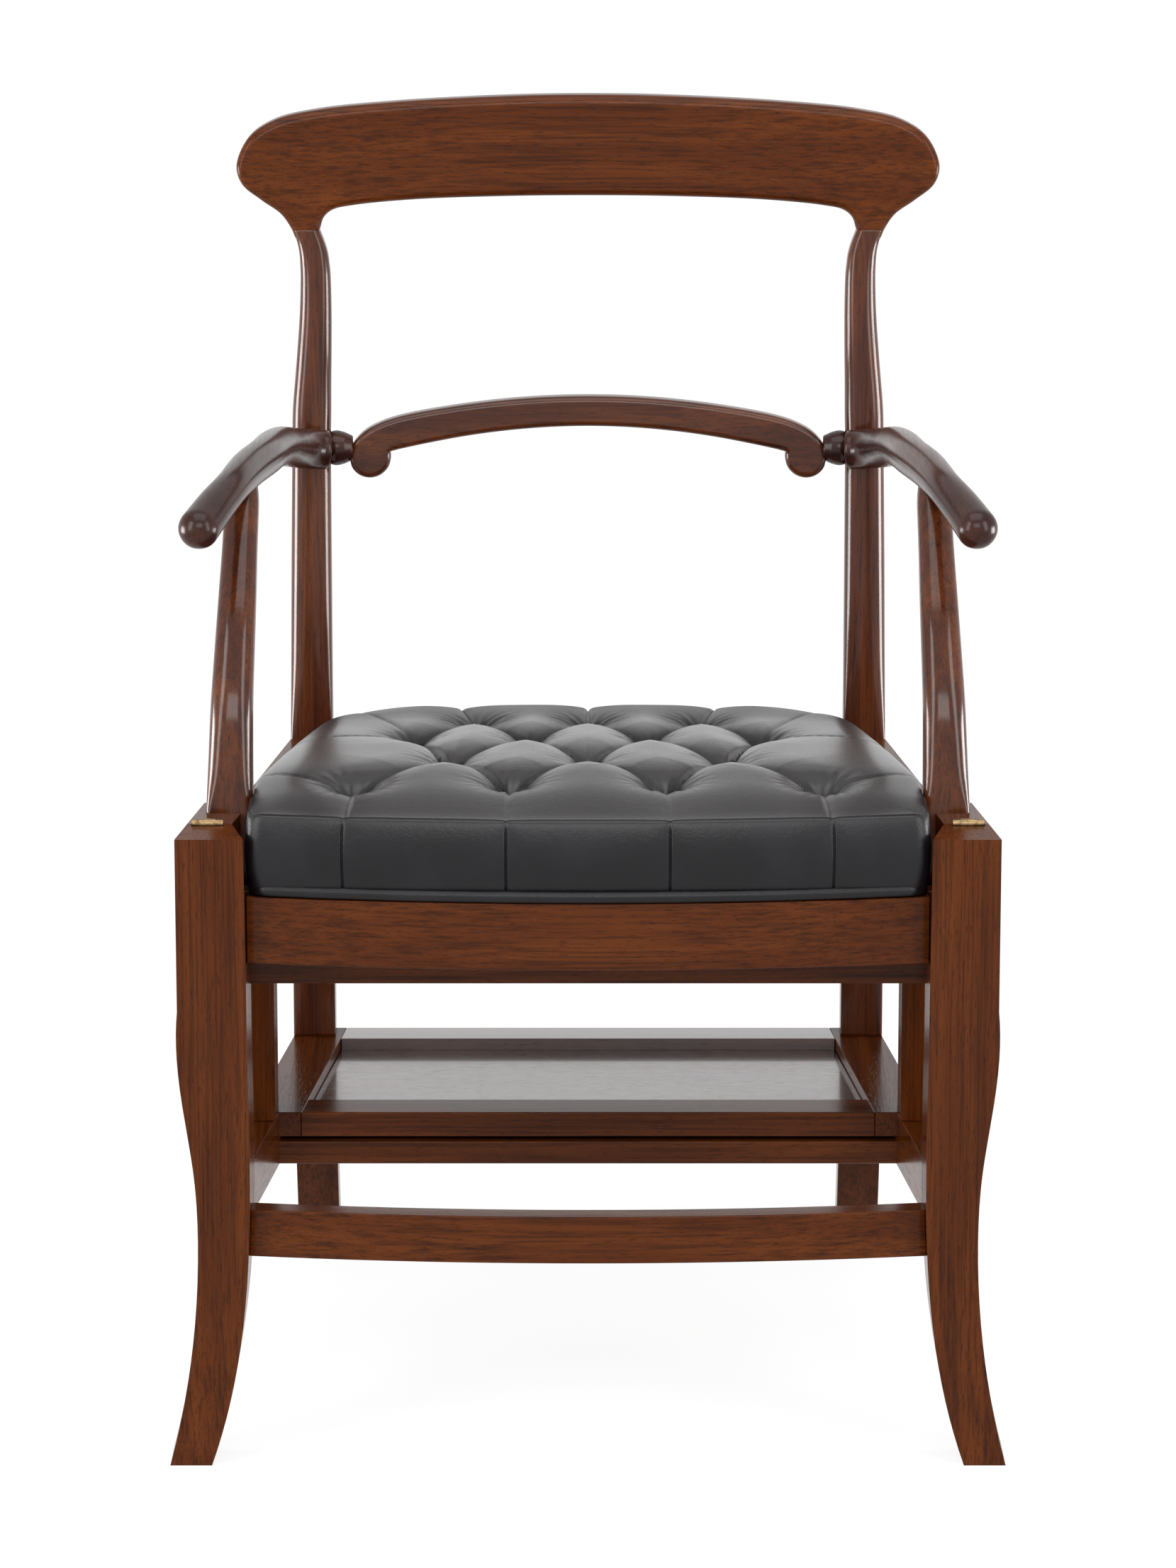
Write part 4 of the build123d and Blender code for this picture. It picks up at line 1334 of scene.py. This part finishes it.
@dataclass
class SeatPiping:
    """The leather piping along the foot of the seat's front and round its corners.

    Lengths are millimetres.
    """

    finish: Leather = Leather("piping_leather", gloss=0.38)
    radius: float = 4.5
    height: float = 412.2
    half: float = 222.5
    face: float = 12.4
    bow: float = 20.0
    turn: float = 10.0
    end: float = 57.0
    around: int = 14
    front_steps: int = 60
    turn_steps: int = 12
    side_steps: int = 14

    def route(self) -> np.ndarray:
        """Centre line of the piping.

        Returns:
            Its places, from the left end to the right.
        """
        xs = np.linspace(0, self.half, self.front_steps)
        ys = self.face - self.bow * (1 - (xs / self.half) ** 2)
        slope = math.atan2(2 * self.bow, self.half)
        angles = np.linspace(slope, math.pi / 2, self.turn_steps)[1:]
        corner_x = self.half + self.turn * (np.sin(angles) - math.sin(slope))
        corner_y = self.face + self.turn * (math.cos(slope) - np.cos(angles))
        run = np.linspace(corner_y[-1], self.end, self.side_steps)[1:]
        right_x = np.concatenate([xs, corner_x, np.full(len(run), corner_x[-1])])
        right_y = np.concatenate([ys, corner_y, run])
        x = np.concatenate([-right_x[:0:-1], right_x])
        y = np.concatenate([right_y[:0:-1], right_y])
        return np.stack([x, y, np.full(len(x), self.height)], axis=-1)

    def build(self) -> None:
        """Builds the piping and puts it in place."""
        line = self.route()
        run = np.gradient(line, axis=0)
        run /= np.linalg.norm(run, axis=1, keepdims=True)
        side = np.stack([run[:, 1], -run[:, 0], np.zeros(len(run))], axis=-1)
        turns = np.linspace(0, 2 * math.pi, self.around, endpoint=False)
        rings = (
            line[:, None, :]
            + self.radius * np.cos(turns)[None, :, None] * side[:, None, :]
            + self.radius * np.sin(turns)[None, :, None] * np.array([0, 0, 1])
        )
        cloud, faces = skin(rings)
        material = self.finish.material()
        seat_piece("seat_piping", cloud, faces, material, "cushion_piping")


@dataclass
class Studio:
    """Camera, lamps, floor and background.

    Places are in metres, the lens and the sensor in millimetres. A lamp is its name, place, target,
    width, height and power.
    """

    lens: float = 192.477
    sensor: float = 36.0
    eye: Point = (0.0, -4.484, 1.466)
    tilt: float = 77.0
    floor_half: float = 60.0
    fill: float = 0.5
    paper_white: float = 0.95
    paper_bounce: float = 0.5
    paper_glow: float = 0.8
    glow_level: float = 1.06
    shadow_from: float = 0.5
    shadow_to: float = 1.6
    lamps: tuple = (
        ("key_left", (-2.2, -1.9, 1.5), (0.0, -0.1, 0.5), 0.9, 2.2, 38.0),
        ("key_right", (2.2, -1.9, 1.5), (0.0, -0.1, 0.5), 0.9, 2.2, 32.0),
        ("rim_left", (-2.3, 0.1, 0.35), (0.0, -0.05, 0.4), 0.9, 0.7, 44.0),
        ("rim_right", (2.3, 0.1, 0.35), (0.0, -0.05, 0.4), 0.9, 0.7, 41.0),
        ("top", (0.0, -0.6, 2.9), (0.0, 0.0, 0.4), 2.4, 1.8, 29.0),
        ("front", (0.0, -3.4, 2.2), (0.0, 0.0, 0.4), 2.2, 1.2, 36.0),
    )

    def build(self) -> None:
        """Builds everything round the chair."""
        self.build_camera()
        self.build_lamps()
        self.build_floor()
        self.build_world()

    def build_camera(self) -> None:
        """Camera at the photograph's place."""
        data = bpy.data.cameras.new("camera")
        data.sensor_fit = "HORIZONTAL"
        data.sensor_width = self.sensor
        data.lens = self.lens
        camera = bpy.data.objects.new("camera", data)
        camera.location = self.eye
        camera.rotation_euler = Euler((math.radians(self.tilt), 0, 0))
        bpy.context.scene.collection.objects.link(camera)
        bpy.context.scene.camera = camera

    def build_lamps(self) -> None:
        """Soft lamps on both sides, above and in front."""
        for name, place, target, wide, high, power in self.lamps:
            data = bpy.data.lights.new(name, "AREA")
            data.shape = "RECTANGLE"
            data.size = wide
            data.size_y = high
            data.energy = power
            lamp = bpy.data.objects.new(name, data)
            lamp.location = place
            course = Vector(target) - Vector(place)
            lamp.rotation_euler = course.to_track_quat("-Z", "Y").to_euler()
            bpy.context.scene.collection.objects.link(lamp)

    def build_floor(self) -> None:
        """White floor that keeps the chair's shadow and fades into the background."""
        half = self.floor_half
        corners = np.array([(-half, -half, 0), (half, -half, 0), (half, half, 0), (-half, half, 0)])
        material, tree = fresh_material("floor")
        camera, shown = tree.shown_paper()
        away = tree.node(
            "ShaderNodeVectorMath", {"operation": "LENGTH"}, {"Vector": tree.place()}, "Value"
        )
        clear = away.step(self.shadow_from, self.shadow_to)
        glow_share = shown * (clear * (1 - self.paper_glow) + self.paper_glow)
        tone = tree.blend(camera, (self.paper_bounce,) * 3, (self.paper_white,) * 3)
        paper = tree.node("ShaderNodeBsdfDiffuse", {}, {"Color": tone})
        glow = tree.node(
            "ShaderNodeEmission", {}, {"Color": (1.0,) * 4, "Strength": self.glow_level}
        )
        tree.end(
            tree.node(
                "ShaderNodeMixShader", {}, {"Fac": glow_share, "Shader": paper, "Shader_001": glow}
            )
        )
        shaded_object("floor", corners, [(0, 1, 2, 3)], material)

    def build_world(self) -> None:
        """White background for the camera and for reflections, dimmer as light."""
        world = bpy.data.worlds.new("studio")
        world.use_nodes = True
        bpy.context.scene.world = world
        tree = Tree(world.node_tree)
        level = tree.shown_paper()[1] * (1 - self.fill) + self.fill
        sky = tree.node("ShaderNodeBackground", {}, {"Color": (1.0,) * 4, "Strength": level})
        tree.end(sky, "ShaderNodeOutputWorld")


def main() -> None:
    """Builds the scene."""
    logging.basicConfig(level=logging.INFO)
    bpy.context.scene.view_settings.view_transform = "Standard"
    Joinery().dress()
    Hinges().dress()
    for piece in (BACK_STILE, ARM_POST, Arm(), BackBead(), CREST, BACK_RAIL):
        piece.build()
    SeatCushion().build()
    SeatPiping().build()
    Studio().build()


if __name__ == "__main__":
    main()
